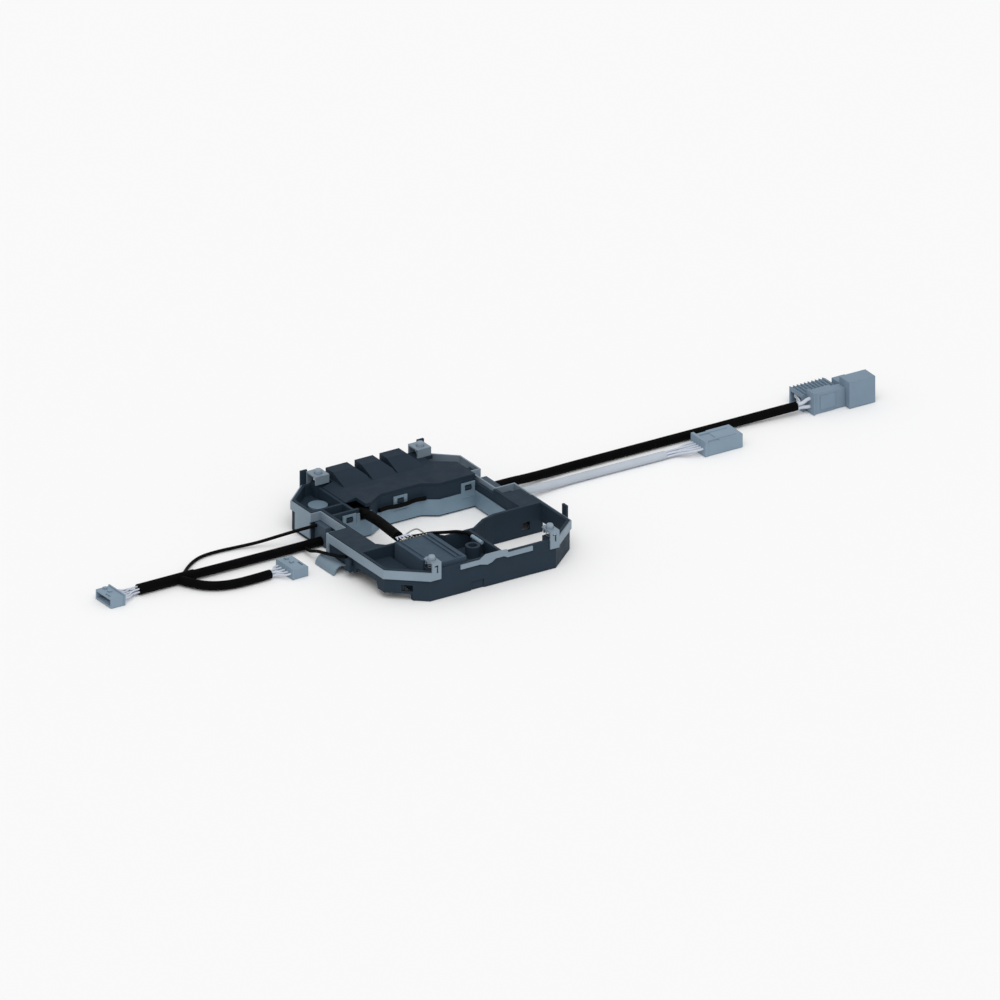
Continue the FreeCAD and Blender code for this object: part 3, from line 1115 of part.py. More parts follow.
def tube_along(points, diameter, report=None):
    """The tube's solid; an arc's radius is 0.45 of its shorter run over the tangent of half the turn."""
    spots = [FreeCAD.Vector(*point) for point in points]
    edges, radii = [], []
    start = spots[0]
    for before, corner, after in zip(spots, spots[1:], spots[2:]):
        arrive, leave = corner - before, after - corner
        cut = 0.45 * min(arrive.Length, leave.Length)
        turn = arrive.getAngle(leave)
        radii.append(cut / math.tan(turn / 2))
        first = corner - arrive.normalize() * cut
        last = corner + leave.normalize() * cut
        bulge = (first + last) * 0.5 - corner
        middle = corner + bulge * ((radii[-1] / math.cos(turn / 2) - radii[-1]) / bulge.Length)
        edges.append(Part.LineSegment(start, first).toShape())
        edges.append(Part.Arc(first, middle, last).toShape())
        start = last
    edges.append(Part.LineSegment(start, spots[-1]).toShape())
    path = Part.Wire(edges)
    section = Part.Wire(Part.makeCircle(diameter / 2, spots[0], spots[1] - spots[0]))
    solid = path.makePipeShell([section], True, False)
    if report:
        share = solid.Volume / (math.pi * diameter ** 2 / 4 * path.Length)
        tightest = min(radii) if radii else 0
        print("%s: %.1f mm long, tightest radius %.1f mm, volume %.4f of section times length"
              % (report, path.Length, tightest, share))
    return solid


def cord(name, points, diameter):
    feature = doc.addObject("Part::Feature", name + "_tube")
    feature.Shape = tube_along(points, diameter, name)
    return node(name, feature)


def route(start, stop, shares=()):
    """Points from start to stop; a share is how far along, to the left and up, over the run."""
    start, stop = FreeCAD.Vector(*start), FreeCAD.Vector(*stop)
    level = FreeCAD.Vector(stop.x - start.x, stop.y - start.y, 0)
    side = FreeCAD.Vector(-level.y, level.x, 0)
    up = FreeCAD.Vector(0, 0, level.Length)
    return [start] + [start + (stop - start) * along + side * left + up * high
                      for along, left, high in shares] + [stop]


def beside(point, across, back, high):
    """A place beside a point, at shares of the black sleeve's diameter."""
    return FreeCAD.Vector(*point) + FreeCAD.Vector(across, back, high) * size("sleeve")


def bundle(y, z, shares):
    """Places of single wires in a sleeve's end, at shares of its diameter from its axis."""
    return [(y + across * size("sleeve"), z + high * size("sleeve")) for across, high in shares]


def wire_group(name, routes, diameter):
    """Several single wires as one sub-part of separate solids."""
    feature = doc.addObject("Part::Feature", name + "_group")
    feature.Shape = Part.makeCompound([tube_along(points, diameter) for points in routes])
    return node(name, feature)


def make_spring(corner, x, y, top, seat):
    """A wound wire spring between its seat and the pin's flange, its axis upright."""
    wire, steps = size("spring_wire"), int(size("spring_steps"))
    low = measure(seat + " + strip_gap / 2") + wire / 2
    high = measure("%s - strip - seat_gap - pin_flange_thick - strip_gap / 2" % top) - wire / 2
    radius = size("spring_radius") / math.cos(math.pi / steps)
    count = int(size("spring_turns") * steps)
    points = [(measure(x) + radius * math.cos(2 * math.pi * i / steps),
               measure(y) + radius * math.sin(2 * math.pi * i / steps), low + (high - low) * i / count)
              for i in range(count + 1)]
    spring = doc.addObject("Part::Feature", corner + "_pin_spring")
    spring.Shape = tube_along(points, wire)
    return spring


for corner, (x, y, top, seat) in PINS.items():
    node(corner + "_pin_spring", make_spring(corner, x, y, top, seat))


BLOCK_LEFT = -measure("%s + strip_gap + left_block_reach" % NOTCH_X)
BLOCK_RIGHT = measure("%s + strip_gap + right_block_reach" % NOTCH_X)
NECK_X, NECK_Y, NECK_Z = measure("opening_half_width - strip_gap"), size("neck_y"), size("neck_z")

# Held inside the carrier
cord("channel_loom", route((-NECK_X, NECK_Y, NECK_Z), (NECK_X, NECK_Y, NECK_Z), [
      (0.0993, -0.0009, 0.0005), (0.1995, 0.0055, -0.0027), (0.3087, 0.0401, -0.0146),
      (0.4362, 0.0665, -0.0191), (0.5638, 0.0710, -0.0196), (0.6913, 0.0583, -0.0182),
      (0.8188, 0.0291, -0.0128), (0.9098, 0.0046, -0.0036)]), size("loom"))
crossover_start = (0.5 * size("wall") - size("crossover_x"), size("lobe_y") + size("crossover_start_y"),
                   size("crossover_start_z"))
crossover_end = (-size("crossover_end_x"), measure("1.7 * module_gap - module_back"),
                 measure("module_top + crossover_end_rise"))
cord("crossover_sleeve", route(crossover_start, crossover_end, [
      (0.1313, 0.0139, 0.0302), (0.2871, 0.0261, 0.0565), (0.5535, 0.0253, 0.0428)]), size("crossover"))
fanned = [route(beside(crossover_end, (i - 2) * 0.16, -0.05, -0.03),
                beside(crossover_end, (i - 1.2) * 0.45, -0.78, 0.03), [(0.38, 0, 0.17), (0.73, 0, 0.15)])
          for i in range(5)]
wire_group("crossover_wires", fanned, size("loop_wire"))
sleeve_rear_end = (measure("bay_split_x - wall / 2 - module_lip - terminal_sleeve / 2"),
                   -size("terminal_sleeve_y"), size("terminal_sleeve_z"))
cord("module_lead", route(beside(crossover_end, 0.459, 0.197, -0.197), sleeve_rear_end, [
      (0.1552, 0.0236, -0.0090), (0.3010, 0.0594, -0.0040), (0.4322, 0.1031, 0.0063),
      (0.6285, 0.0701, 0.0281), (0.8090, 0.0764, 0.0402), (0.9419, 0.0590, 0.0230)]), size("lead"))
loop_end = (measure("-module_right - 1.3 * module_gap"), measure("1.5 * module_gap - module_back"),
            measure("module_top - 1.7 * ridge_height"))
cord("grey_loop_wire", route(beside(crossover_end, 0.984, 0.000, 0.033), loop_end, [
      (0.2078, 0.0197, 0.1156), (0.4491, 0.0819, 0.1969), (0.6897, 0.1719, 0.1949),
      (0.8774, 0.1633, 0.0977)]), size("loop_wire"))
lead_start = (measure("-recess_left - 1.5 * module_gap"), measure("recess_y - 3.3 * strip"),
              size("lead_height"))
lead_stop = (measure("recess_right + module_gap"), measure("recess_y - 3.5 * strip"), size("lead_height"))
cord("rear_inner_lead", route(lead_start, lead_stop, [
      (0.1942, 0.0372, -0.0028), (0.4027, 0.0161, -0.0167), (0.6110, 0.0187, -0.0153),
      (0.8053, 0.0434, -0.0028)]), size("inner_lead"))
left_exit = (BLOCK_LEFT, size("cable_left_y"), size("cable_left_z"))
guide_stop = (measure("-half_width - 0.7 * strip"), measure("-guide_y - guide_flange + 0.2 * strip"),
              measure("shelf_height - 0.4 * strip"))
cord("front_left_lead", route(beside(left_exit, -2.279, -0.377, -0.016), guide_stop, [
      (0.1594, -0.0409, -0.0266), (0.3705, -0.0590, 0.0148), (0.6097, -0.0660, 0.0097),
      (0.8142, -0.0564, 0.0074)]), size("lead"))

# Free harness on the left
split = (-size("end_sleeve_right"), size("end_sleeve_y"), size("end_sleeve") / 2)
branch_end = (measure("-branch_plug_back - branch_fan"), size("branch_plug_y"), measure("sleeve / 2"))
cord("left_main_sleeve", route(left_exit, split, [
      (0.4688, -0.0007, -0.0030)]), size("sleeve"))
node("left_end_sleeve", rod("split_sleeve", "-end_sleeve_left", "end_sleeve_y", "end_sleeve / 2",
                            "end_sleeve / 2", "end_sleeve_left - end_sleeve_right", "x"))
cord("left_branch_sleeve", route(beside(split, -1.885, -0.410, -0.016),
                                 beside(branch_end, 0, -0.033, 0.008), [
      (0.1374, -0.1304, -0.0025), (0.3190, -0.2037, -0.0038), (0.5172, -0.2018, -0.0024),
      (0.7497, -0.1194, -0.0017)]), size("sleeve"))
cord("left_thin_lead", route((BLOCK_LEFT, size("thin_lead_y"), size("thin_lead_z")),
                             beside(split, -1.230, 0.361, -0.066), [
      (0.1127, -0.0077, 0.0080), (0.2341, -0.0821, -0.0258), (0.3459, -0.1562, -0.0605),
      (0.4681, -0.2022, -0.0659), (0.5910, -0.2178, -0.0555), (0.7230, -0.2137, -0.0439),
      (0.8297, -0.1596, -0.0340), (0.9268, -0.0768, -0.0188)]), size("lead"))

# Free harness on the right
sleeve_end = (measure("end_plug_back - end_fan"), measure("end_plug_y + end_plug_width / 3"),
              size("sleeve"))
cable_end = (measure("flat_plug_back - flat_fan"), measure("flat_plug_y + sleeve / 2"),
             size("white_cable") / 2)
cord("right_black_sleeve", route((BLOCK_RIGHT, size("cable_black_y"), size("cable_right_z")), sleeve_end,
                                 [
      (0.0586, 0.0053, -0.0020), (0.1261, 0.0172, -0.0112), (0.1979, 0.0273, -0.0173),
      (0.2948, 0.0313, -0.0179), (0.8086, 0.0240, -0.0138), (0.9054, 0.0141, -0.0080)]), size("sleeve"))
cord("right_white_cable", route((BLOCK_RIGHT, size("cable_white_y"), size("cable_right_z")),
                                beside(cable_end, 0, 0.008, 0.016), [
      (0.1084, 0.0038, -0.0019), (0.2261, 0.0195, -0.0151), (0.3514, 0.0333, -0.0233),
      (0.5149, 0.0319, -0.0194)]), size("white_cable"))


# Plugs at the ends of the harness

def small_plug(name, mouth):
    """A small flat plug with a rear flange, two lugs, a latch slot and a cavity that faces -X or +X."""
    side = name.split("_")[0]
    length, depth = side + "_plug_length", side + "_plug_depth"
    low_y, high_y = "%s_plug_y - %s_plug_width / 2" % (side,
                                                       side), "%s_plug_y + %s_plug_width / 2" % (side,
                                                                                                 side)
    x0 = "-left_plug_face" if mouth < 0 else "-branch_plug_back"
    x1 = "(%s + %s)" % (x0, length)
    top = "small_plug_height"
    housing = block(name + "_block", x0, x1, low_y, high_y, "0", top)
    ends = [x1 + " - plug_wall", x1] if mouth < 0 else [x0, x0 + " + plug_wall"]
    flange = block(name + "_flange", ends[0], ends[1], low_y + " - plug_flange",
                   high_y + " + plug_flange", "0",
                   top + " + 2 * plug_flange")
    lugs = [block("%s_lug_%d" % (name, i), "%s + %s / 2 - plug_lug" % (x0, length),
                  "%s + %s / 2 + plug_lug" % (x0, length),
                  "%s + %s * %s_plug_width - plug_lug" % (low_y, share, side),
                  "%s + %s * %s_plug_width + plug_lug" % (low_y, share, side), top + " - plug_wall",
                  top + " + plug_lug")
            for i, share in enumerate((0.55, 0.86))]
    ends = [x0 + " - plug_wall", "%s + %s" % (x0, depth)] if mouth < 0 else ["%s - %s" % (x1, depth),
                                                                             x1 + " + plug_wall"]
    cavity = block(name + "_cavity", ends[0], ends[1], low_y + " + plug_wall", high_y + " - plug_wall",
                   "plug_wall",
                   top + " - plug_wall")
    ends = [x0 + " + plug_lug", x0 + " + 2 * plug_lug"] if mouth < 0 else [x1 + " - 2 * plug_lug",
                                                                           x1 + " - plug_lug"]
    slot = block(name + "_latch_slot", ends[0], ends[1], "%s + 0.2 * %s_plug_width" % (low_y, side),
                 "%s + %s_plug_width / 2" % (low_y, side), top + " - 2 * plug_wall", top + " + plug_wall")
    return less(name + "_cut", joined(name + "_whole", [housing, flange] + lugs), [cavity, slot])


def contact_row(name, x0, x1, spots):
    """Bare contacts along a plug's cavity; a spot is a place across it."""
    side = size("contact")
    pieces = [Part.makeBox(x1 - x0, side, side, FreeCAD.Vector(x0, y - side / 2, z - side / 2)) for y,
              z in spots]
    feature = doc.addObject("Part::Feature", name + "_row")
    feature.Shape = Part.makeCompound(pieces)
    return node(name, feature)


def fan(name, start, stop, diameter, starts, stops):
    """Single wires from a sleeve's end to a plug's back."""
    run = (stop - start) / 3
    wire_group(name, [[(start, y0, z0), (start + run, y0, z0), (stop - run, y1, z1), (stop, y1, z1)]
                      for (y0, z0), (y1, z1) in zip(starts, stops)], diameter)


def spread(count, plug, height):
    """Evenly spaced places across a plug's width at one height."""
    middle, width = size(plug + "_y"), size(plug + "_width") - 4 * size("plug_wall") - size("contact")
    return [(middle - width / 2 + width * i / (count - 1), height) for i in range(count)]


PLUG_Z = size("small_plug_height") / 2
LEFT_SPOTS = spread(8, "left_plug", PLUG_Z)
BRANCH_SPOTS = spread(5, "branch_plug", PLUG_Z)
FLAT_SPOTS = spread(5, "flat_plug", size("flat_plug_height") / 2)

node("left_plug_housing", small_plug("left_plug", -1))
left_back_wall = size("left_plug_depth") - size("left_plug_face")
contact_row("left_plug_contacts", left_back_wall - size("contact_length"), left_back_wall, LEFT_SPOTS)
fan("left_plug_wires", -size("end_sleeve_left"), size("left_plug_length") - size("left_plug_face"),
    size("left_wire"), bundle(split[1], split[2], [
        (-0.33, -0.16), (-0.26, 0.16), (-0.10, -0.31), (-0.07, 0.00),
        (0.10, 0.30), (0.15, -0.30), (0.31, 0.18), (0.36, -0.13)]), LEFT_SPOTS)

node("branch_plug_housing", small_plug("branch_plug", 1))
branch_back_wall = measure("branch_plug_length - branch_plug_back - branch_plug_depth")
contact_row("branch_plug_contacts", branch_back_wall, branch_back_wall + size("contact_length"),
            BRANCH_SPOTS)
fan("branch_plug_wires", branch_end[0], -size("branch_plug_back"), size("branch_wire"),
    bundle(branch_end[1], branch_end[2], [(-0.26, -0.15), (-0.20, 0.21), (0.02, 0.00), (0.21, 0.26),
                                          (0.26, -0.20)]), BRANCH_SPOTS)


def make_flat_plug():
    """The plug of the white cable: low rear block, raised front part, rear flange and two ribs."""
    back, face = "flat_plug_back", "(flat_plug_back + flat_plug_length)"
    low_y, high_y = "(flat_plug_y - flat_plug_width / 2)", "(flat_plug_y + flat_plug_width / 2)"
    solids = [block("flat_plug_low_block", back, back + " + flat_plug_step", low_y, high_y, "0",
                    "flat_plug_low"),
              block("flat_plug_high_block", back + " + flat_plug_step", face, low_y, high_y, "0",
                    "flat_plug_height"),
              block("flat_plug_flange", back, back + " + 2 * plug_wall", low_y + " - plug_flange",
                    high_y + " + plug_flange", "0", "flat_plug_height + plug_wall")]
    for name, edge in (("near", low_y + " + flat_plug_rib"), ("far", high_y + " - 2 * flat_plug_rib")):
        solids.append(block("flat_plug_rib_" + name, back + " + 2 * plug_wall",
                            face + " - 2 * flat_plug_rib", edge,
                            edge + " + flat_plug_rib", "flat_plug_low - plug_wall",
                            "flat_plug_height + plug_flange"))
    cavity = block("flat_plug_cavity", face + " - flat_plug_depth", face + " + plug_wall",
                   low_y + " + 1.5 * plug_wall",
                   high_y + " - 1.5 * plug_wall", "1.5 * plug_wall", "flat_plug_height - 1.5 * plug_wall")
    return less("flat_plug", joined("flat_plug_whole", solids), [cavity])


node("flat_plug_housing", make_flat_plug())
flat_back_wall = measure("flat_plug_back + flat_plug_length - flat_plug_depth")
contact_row("flat_plug_contacts", flat_back_wall, flat_back_wall + size("long_contact"), FLAT_SPOTS)
fan("flat_plug_wires", cable_end[0], size("flat_plug_back"), size("flat_wire"),
    bundle(cable_end[1], cable_end[2], [(-0.26, -0.11), (-0.23, 0.20), (0.00, 0.02), (0.23, 0.22),
                                        (0.25, -0.14)]), FLAT_SPOTS)


def make_end_plug():
    """The right end plug: a tall housing with a flange and two wire holes at its back, and a nose."""
    back, shoulder = "end_plug_back", "(end_plug_back + end_plug_length - end_plug_nose)"
    face = "(end_plug_back + end_plug_length)"
    low_y, high_y = "(end_plug_y - end_plug_width / 2)", "(end_plug_y + end_plug_width / 2)"
    solids = [block("end_plug_block", back, shoulder, low_y, high_y, "0", "end_plug_height"),
              block("end_plug_nose_block", shoulder, face, low_y + " + plug_flange", high_y, "0",
                    "end_plug_height - plug_wall"),
              block("end_plug_flange", back, back + " + plug_wall", low_y + " - plug_wall", high_y, "0",
                    "end_plug_height + plug_wall"),
              block("end_plug_side_rail", back + " + 5 * plug_wall", shoulder, low_y + " - plug_flange",
                    low_y,
                    "2 * plug_wall", "end_plug_height - 2 * plug_wall")]
    holes = [rod("end_plug_hole_" + level, back + " - plug_wall", "end_plug_y", "end_wire_" + level,
                 "thick_wire / 2 + 2 * strip_gap", "6 * plug_wall", "x") for level in ("low", "high")]
    return less("end_plug", joined("end_plug_whole", solids), holes)


def make_end_cover():
    """The ribbed cover beside the end plug: a saw-tooth row along its top, hollow and open at its back."""
    body = new_body("end_plug_cover")
    x0, x1 = "end_cover_back", "(end_plug_back + end_plug_length)"
    near = "(end_plug_y + end_plug_width / 2 + strip_gap)"
    far = "(%s + end_cover_width)" % near
    teeth = int(size("end_cover_teeth"))
    points = [(x0, "0"), (x1, "0")]
    for i in range(teeth):
        points.append(("%s - %d * (%s - %s) / end_cover_teeth" % (x1, i, x1, x0),
                       "end_cover_height - end_cover_rib"))
        points.append(("%s - %d * (%s - %s) / end_cover_teeth" % (x1, i + 1, x1, x0), "end_cover_height"))
    pad(body, "cover_ribs", outline(body, "cover_rib_outline", points, "-" + far, "XZ_Plane"),
        "end_cover_width")
    hollow = frame_box(near + " + end_cover_wall", far + " - end_cover_wall", "end_cover_wall",
                       "end_cover_height - end_cover_rib - end_cover_wall")
    pocket(body, "cover_hollow", outline(body, "cover_hollow_outline", hollow, x1 + " - end_cover_wall",
                                         "YZ_Plane"),
           "%s - %s" % (x1, x0))
    return body


def make_socket():
    """The socket block that the end plug's nose meets, with a lower tongue beside it."""
    back = "(end_plug_back + end_plug_length + strip_gap)"
    face = "(%s + socket_length)" % back
    low_y, high_y = "(socket_y - socket_width / 2)", "(socket_y + socket_width / 2)"
    solids = [block("socket_block", back, face, low_y, high_y, "0", "socket_height"),
              block("socket_tongue", back, back + " + tongue_length", high_y, high_y + " + tongue_width",
                    "0",
                    "tongue_height")]
    holes = [block("socket_mouth", face + " - socket_depth", face + " + socket_wall",
                   low_y + " + socket_wall",
                   high_y + " - socket_wall", "socket_wall", "socket_height - socket_wall")]
    return less("socket", joined("socket_whole", solids), holes)


node("end_plug_housing", make_end_plug())
node("end_plug_cover", make_end_cover())
node("end_socket", make_socket())
socket_back_wall = measure("end_plug_back + end_plug_length + strip_gap + socket_length - socket_depth")
contact_row("end_socket_contacts", socket_back_wall, socket_back_wall + size("long_contact"),
            [(size("socket_y") + side * size("socket_row_pitch") / 2,
              size("socket_contact_low") + level * size("socket_contact_pitch"))
             for side in (-1, 1) for level in range(3)])
fan("end_plug_thick_wires", sleeve_end[0], size("end_plug_back") + size("wire_entry"), size("thick_wire"),
    bundle(sleeve_end[1], sleeve_end[2], [(-0.21, -0.21), (-0.22, 0.23)]),
    [(size("end_plug_y"), size("end_wire_low")), (size("end_plug_y"), size("end_wire_high"))])
cover_middle = measure("end_plug_y + end_plug_width / 2 + end_cover_width / 2")
fan("end_plug_thin_wires", sleeve_end[0], size("end_cover_back") + size("thin_wire_entry"),
    size("thin_wire"),
    bundle(sleeve_end[1], sleeve_end[2], [(0.20, -0.21), (0.27, 0.03), (0.15, 0.26)]),
    [(cover_middle + share * size("end_cover_width"), (0.5 + share) * size("end_cover_height"))
     for share in (-0.2, -0.05, 0.1)])

doc.recompute()
for thing in doc.Objects:
    if "Invalid" in thing.State or "Error" in thing.State:
        raise RuntimeError("%s did not build" % thing.Label)
for name, thing in NODES.items():
    if thing.Shape.isNull() or not thing.Shape.isValid():
        raise RuntimeError("%s has no valid shape" % name)
for name, thing in NODES.items():
    thing.Shape.exportStep("parts/%s.step" % name)
print(len(NODES), "sub-parts")
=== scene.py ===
"""Dressed model of a steering wheel contact carrier with its harness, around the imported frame."""
import bpy
import math
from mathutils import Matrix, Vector


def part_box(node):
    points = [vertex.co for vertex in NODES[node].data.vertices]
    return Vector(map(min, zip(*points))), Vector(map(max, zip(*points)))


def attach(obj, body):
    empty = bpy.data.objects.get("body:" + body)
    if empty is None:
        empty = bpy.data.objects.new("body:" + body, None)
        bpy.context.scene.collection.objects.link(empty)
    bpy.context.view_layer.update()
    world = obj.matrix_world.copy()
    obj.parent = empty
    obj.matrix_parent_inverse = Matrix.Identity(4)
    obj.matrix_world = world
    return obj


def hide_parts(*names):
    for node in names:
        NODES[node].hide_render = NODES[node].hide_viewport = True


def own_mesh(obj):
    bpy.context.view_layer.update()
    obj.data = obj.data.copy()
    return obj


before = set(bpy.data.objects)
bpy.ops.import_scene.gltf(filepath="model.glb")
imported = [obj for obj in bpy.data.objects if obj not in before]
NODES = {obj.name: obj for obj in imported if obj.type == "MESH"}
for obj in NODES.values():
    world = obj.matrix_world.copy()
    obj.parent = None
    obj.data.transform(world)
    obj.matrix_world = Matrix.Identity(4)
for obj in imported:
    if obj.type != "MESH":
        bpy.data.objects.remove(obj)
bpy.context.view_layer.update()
ROOT = "carrier"
MM = 0.001

scene = bpy.context.scene
bpy.ops.object.select_all(action="DESELECT")


# Camera at the photograph's angle

AZIMUTH = math.radians(-32.5)
ELEVATION = math.radians(24.9)
VIEW_WIDTH = 0.65
SHIFT_RIGHT = 0.04693
SHIFT_UP = 0.02685
DISTANCE = 2.0
FAR_CLIP = 10.0


def make_camera():
    """An orthographic camera; its axis passes beside the origin as the photograph's does."""
    level = math.cos(ELEVATION)
    toward = Vector((-math.sin(AZIMUTH) * level, math.cos(AZIMUTH) * level, -math.sin(ELEVATION)))
    right = toward.cross(Vector((0, 0, 1))).normalized()
    up = right.cross(toward)
    place = right * SHIFT_RIGHT + up * SHIFT_UP - toward * DISTANCE
    bpy.ops.object.camera_add(location=place, rotation=toward.to_track_quat("-Z", "Y").to_euler())
    camera = bpy.context.object
    camera.name = "photo_camera"
    camera.data.type = "ORTHO"
    camera.data.ortho_scale = VIEW_WIDTH
    camera.data.clip_end = FAR_CLIP
    scene.camera = camera


make_camera()


# Cords of the free harness: each tube's control points and diameter in millimetres

BLOCK_LEFT = -62.1
BLOCK_RIGHT = 70.1
ROUTES = {
    "left_main_sleeve": [(BLOCK_LEFT, 31.5, 3.4), (-108, 31.8, 3.2), (-160, 32, 3.6)],
    "left_branch_sleeve": [(-171.5, 29.5, 3.5), (-167, 19.3, 3.3), (-158.8, 11.2, 3.15), (-148, 6.8, 3.15),
                           (-133.5, 6, 3.1), (-117.2, 6.8, 3.1)],
    "left_thin_lead": [(BLOCK_LEFT, 37, 12.5), (-74, 37.5, 12.3), (-87, 45, 7.6), (-99, 52.5, 2.9),
                       (-112, 57, 1.2), (-125, 58.3, 1.15), (-138.9, 57.5, 1.15), (-150, 51.5, 1.2),
                       (-160, 42.5, 1.9), (-167.5, 34.2, 3.2)],
    "right_black_sleeve": [(BLOCK_RIGHT, 34, 8), (84, 35.4, 7.4), (100, 38.4, 5.1), (117, 41, 3.5),
                           (140, 42.2, 3.15), (262, 41.8, 3.1), (285, 39.7, 4.3), (307.5, 36.6, 6)],
    "right_white_cable": [(BLOCK_RIGHT, 18, 8), (84, 19.2, 7.2), (99, 22, 4.9), (115, 24.6, 3.2),
                          (136, 25.5, 2.85), (198.5, 24.6, 2.85)],
}
DIAMETERS = {"left_main_sleeve": 6.1, "left_branch_sleeve": 6.1, "left_thin_lead": 2.2,
             "right_black_sleeve": 6.1, "right_white_cable": 5.5}
CORD_RING = 7
CORD_STEPS = 24


def make_spline(name):
    """A smooth round cord on a route's control points, whose own radius is the cord's."""
    curve = bpy.data.curves.new(name + "_line", "CURVE")
    curve.dimensions = "3D"
    curve.bevel_depth = 1
    curve.bevel_resolution = CORD_RING
    curve.resolution_u = CORD_STEPS
    curve.use_fill_caps = True
    points = ROUTES[name]
    spline = curve.splines.new("NURBS")
    spline.points.add(len(points) - 1)
    for spot, (x, y, z) in zip(spline.points, points):
        spot.co = (x * MM, y * MM, z * MM, 1)
        spot.radius = DIAMETERS[name] / 2 * MM
    spline.order_u = 3
    spline.use_endpoint_u = True
    piece = bpy.data.objects.new(name + "_visual", curve)
    scene.collection.objects.link(piece)
    return piece


def route_length(piece):
    """The length of a cord's smooth line."""
    bare = piece.copy()
    bare.data = piece.data.copy()
    bare.data.bevel_depth = 0
    mesh = bpy.data.meshes.new_from_object(bare)
    spots = mesh.vertices
    length = sum((spots[a].co - spots[b].co).length for a, b in (edge.vertices for edge in mesh.edges))
    bpy.data.objects.remove(bare)
    return length


CORDS = {name: make_spline(name) for name in ROUTES}
for name, cable in CORDS.items():
    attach(cable, ROOT)
    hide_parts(name)
    x, y, z = ROUTES[name][0]
    round(route_length(cable), 4)


# Materials

def srgb(red, green, blue):
    """A colour as a camera shows it, 0 to 255, in linear light."""
    shares = (red / 255, green / 255, blue / 255)
    return tuple(((c + 0.055) / 1.055) ** 2.4 if c > 0.04 else c / 12.92 for c in shares) + (1,)


def add_node(tree, kind, fed=(), operation=None):
    """A node with its operation; fed pairs its sockets with their values or with the outputs that feed them."""
    node = tree.nodes.new(kind)
    if operation:
        node.operation = operation
    for socket, source in fed:
        if isinstance(source, bpy.types.NodeSocket):
            tree.links.new(source, node.inputs[socket])
        else:
            node.inputs[socket].default_value = source
    return node


NUMBER, COLOUR, VECTOR = "NodeSocketFloat", "NodeSocketColor", "NodeSocketVector"
FINISH_INPUTS = [("Colour", COLOUR), ("Edge Colour", COLOUR), ("Mottle", NUMBER), ("Gloss Low", NUMBER),
                 ("Gloss High", NUMBER), ("Grain Scale", NUMBER), ("Grain Depth", NUMBER), ("Edge Wear And Highlight", NUMBER)]
FINISH_OUTPUTS = [("Colour", COLOUR), ("Roughness", NUMBER), ("Normal", VECTOR)]
MOTTLE_SCALE, MOTTLE_DETAIL, MOTTLE_RANGE = 55, 5, (0.3, 0.7)
GLOSS_SCALE, GLOSS_DETAIL, GLOSS_RANGE = 140, 3, (0.35, 0.65)
# Scale and range of the edge mask, which paints a lighter colour along edges, partly as scuffing and partly as a
# painted edge highlight
EDGE_WEAR_HIGHLIGHT_SCALE, EDGE_WEAR_HIGHLIGHT_RANGE = 320, (0.995, 0.85)
EDGE_RADIUS, EDGE_SAMPLES = 0.35 * MM, 4
GRAIN_DETAIL, GRAIN_HEIGHT = 2, 0.05 * MM


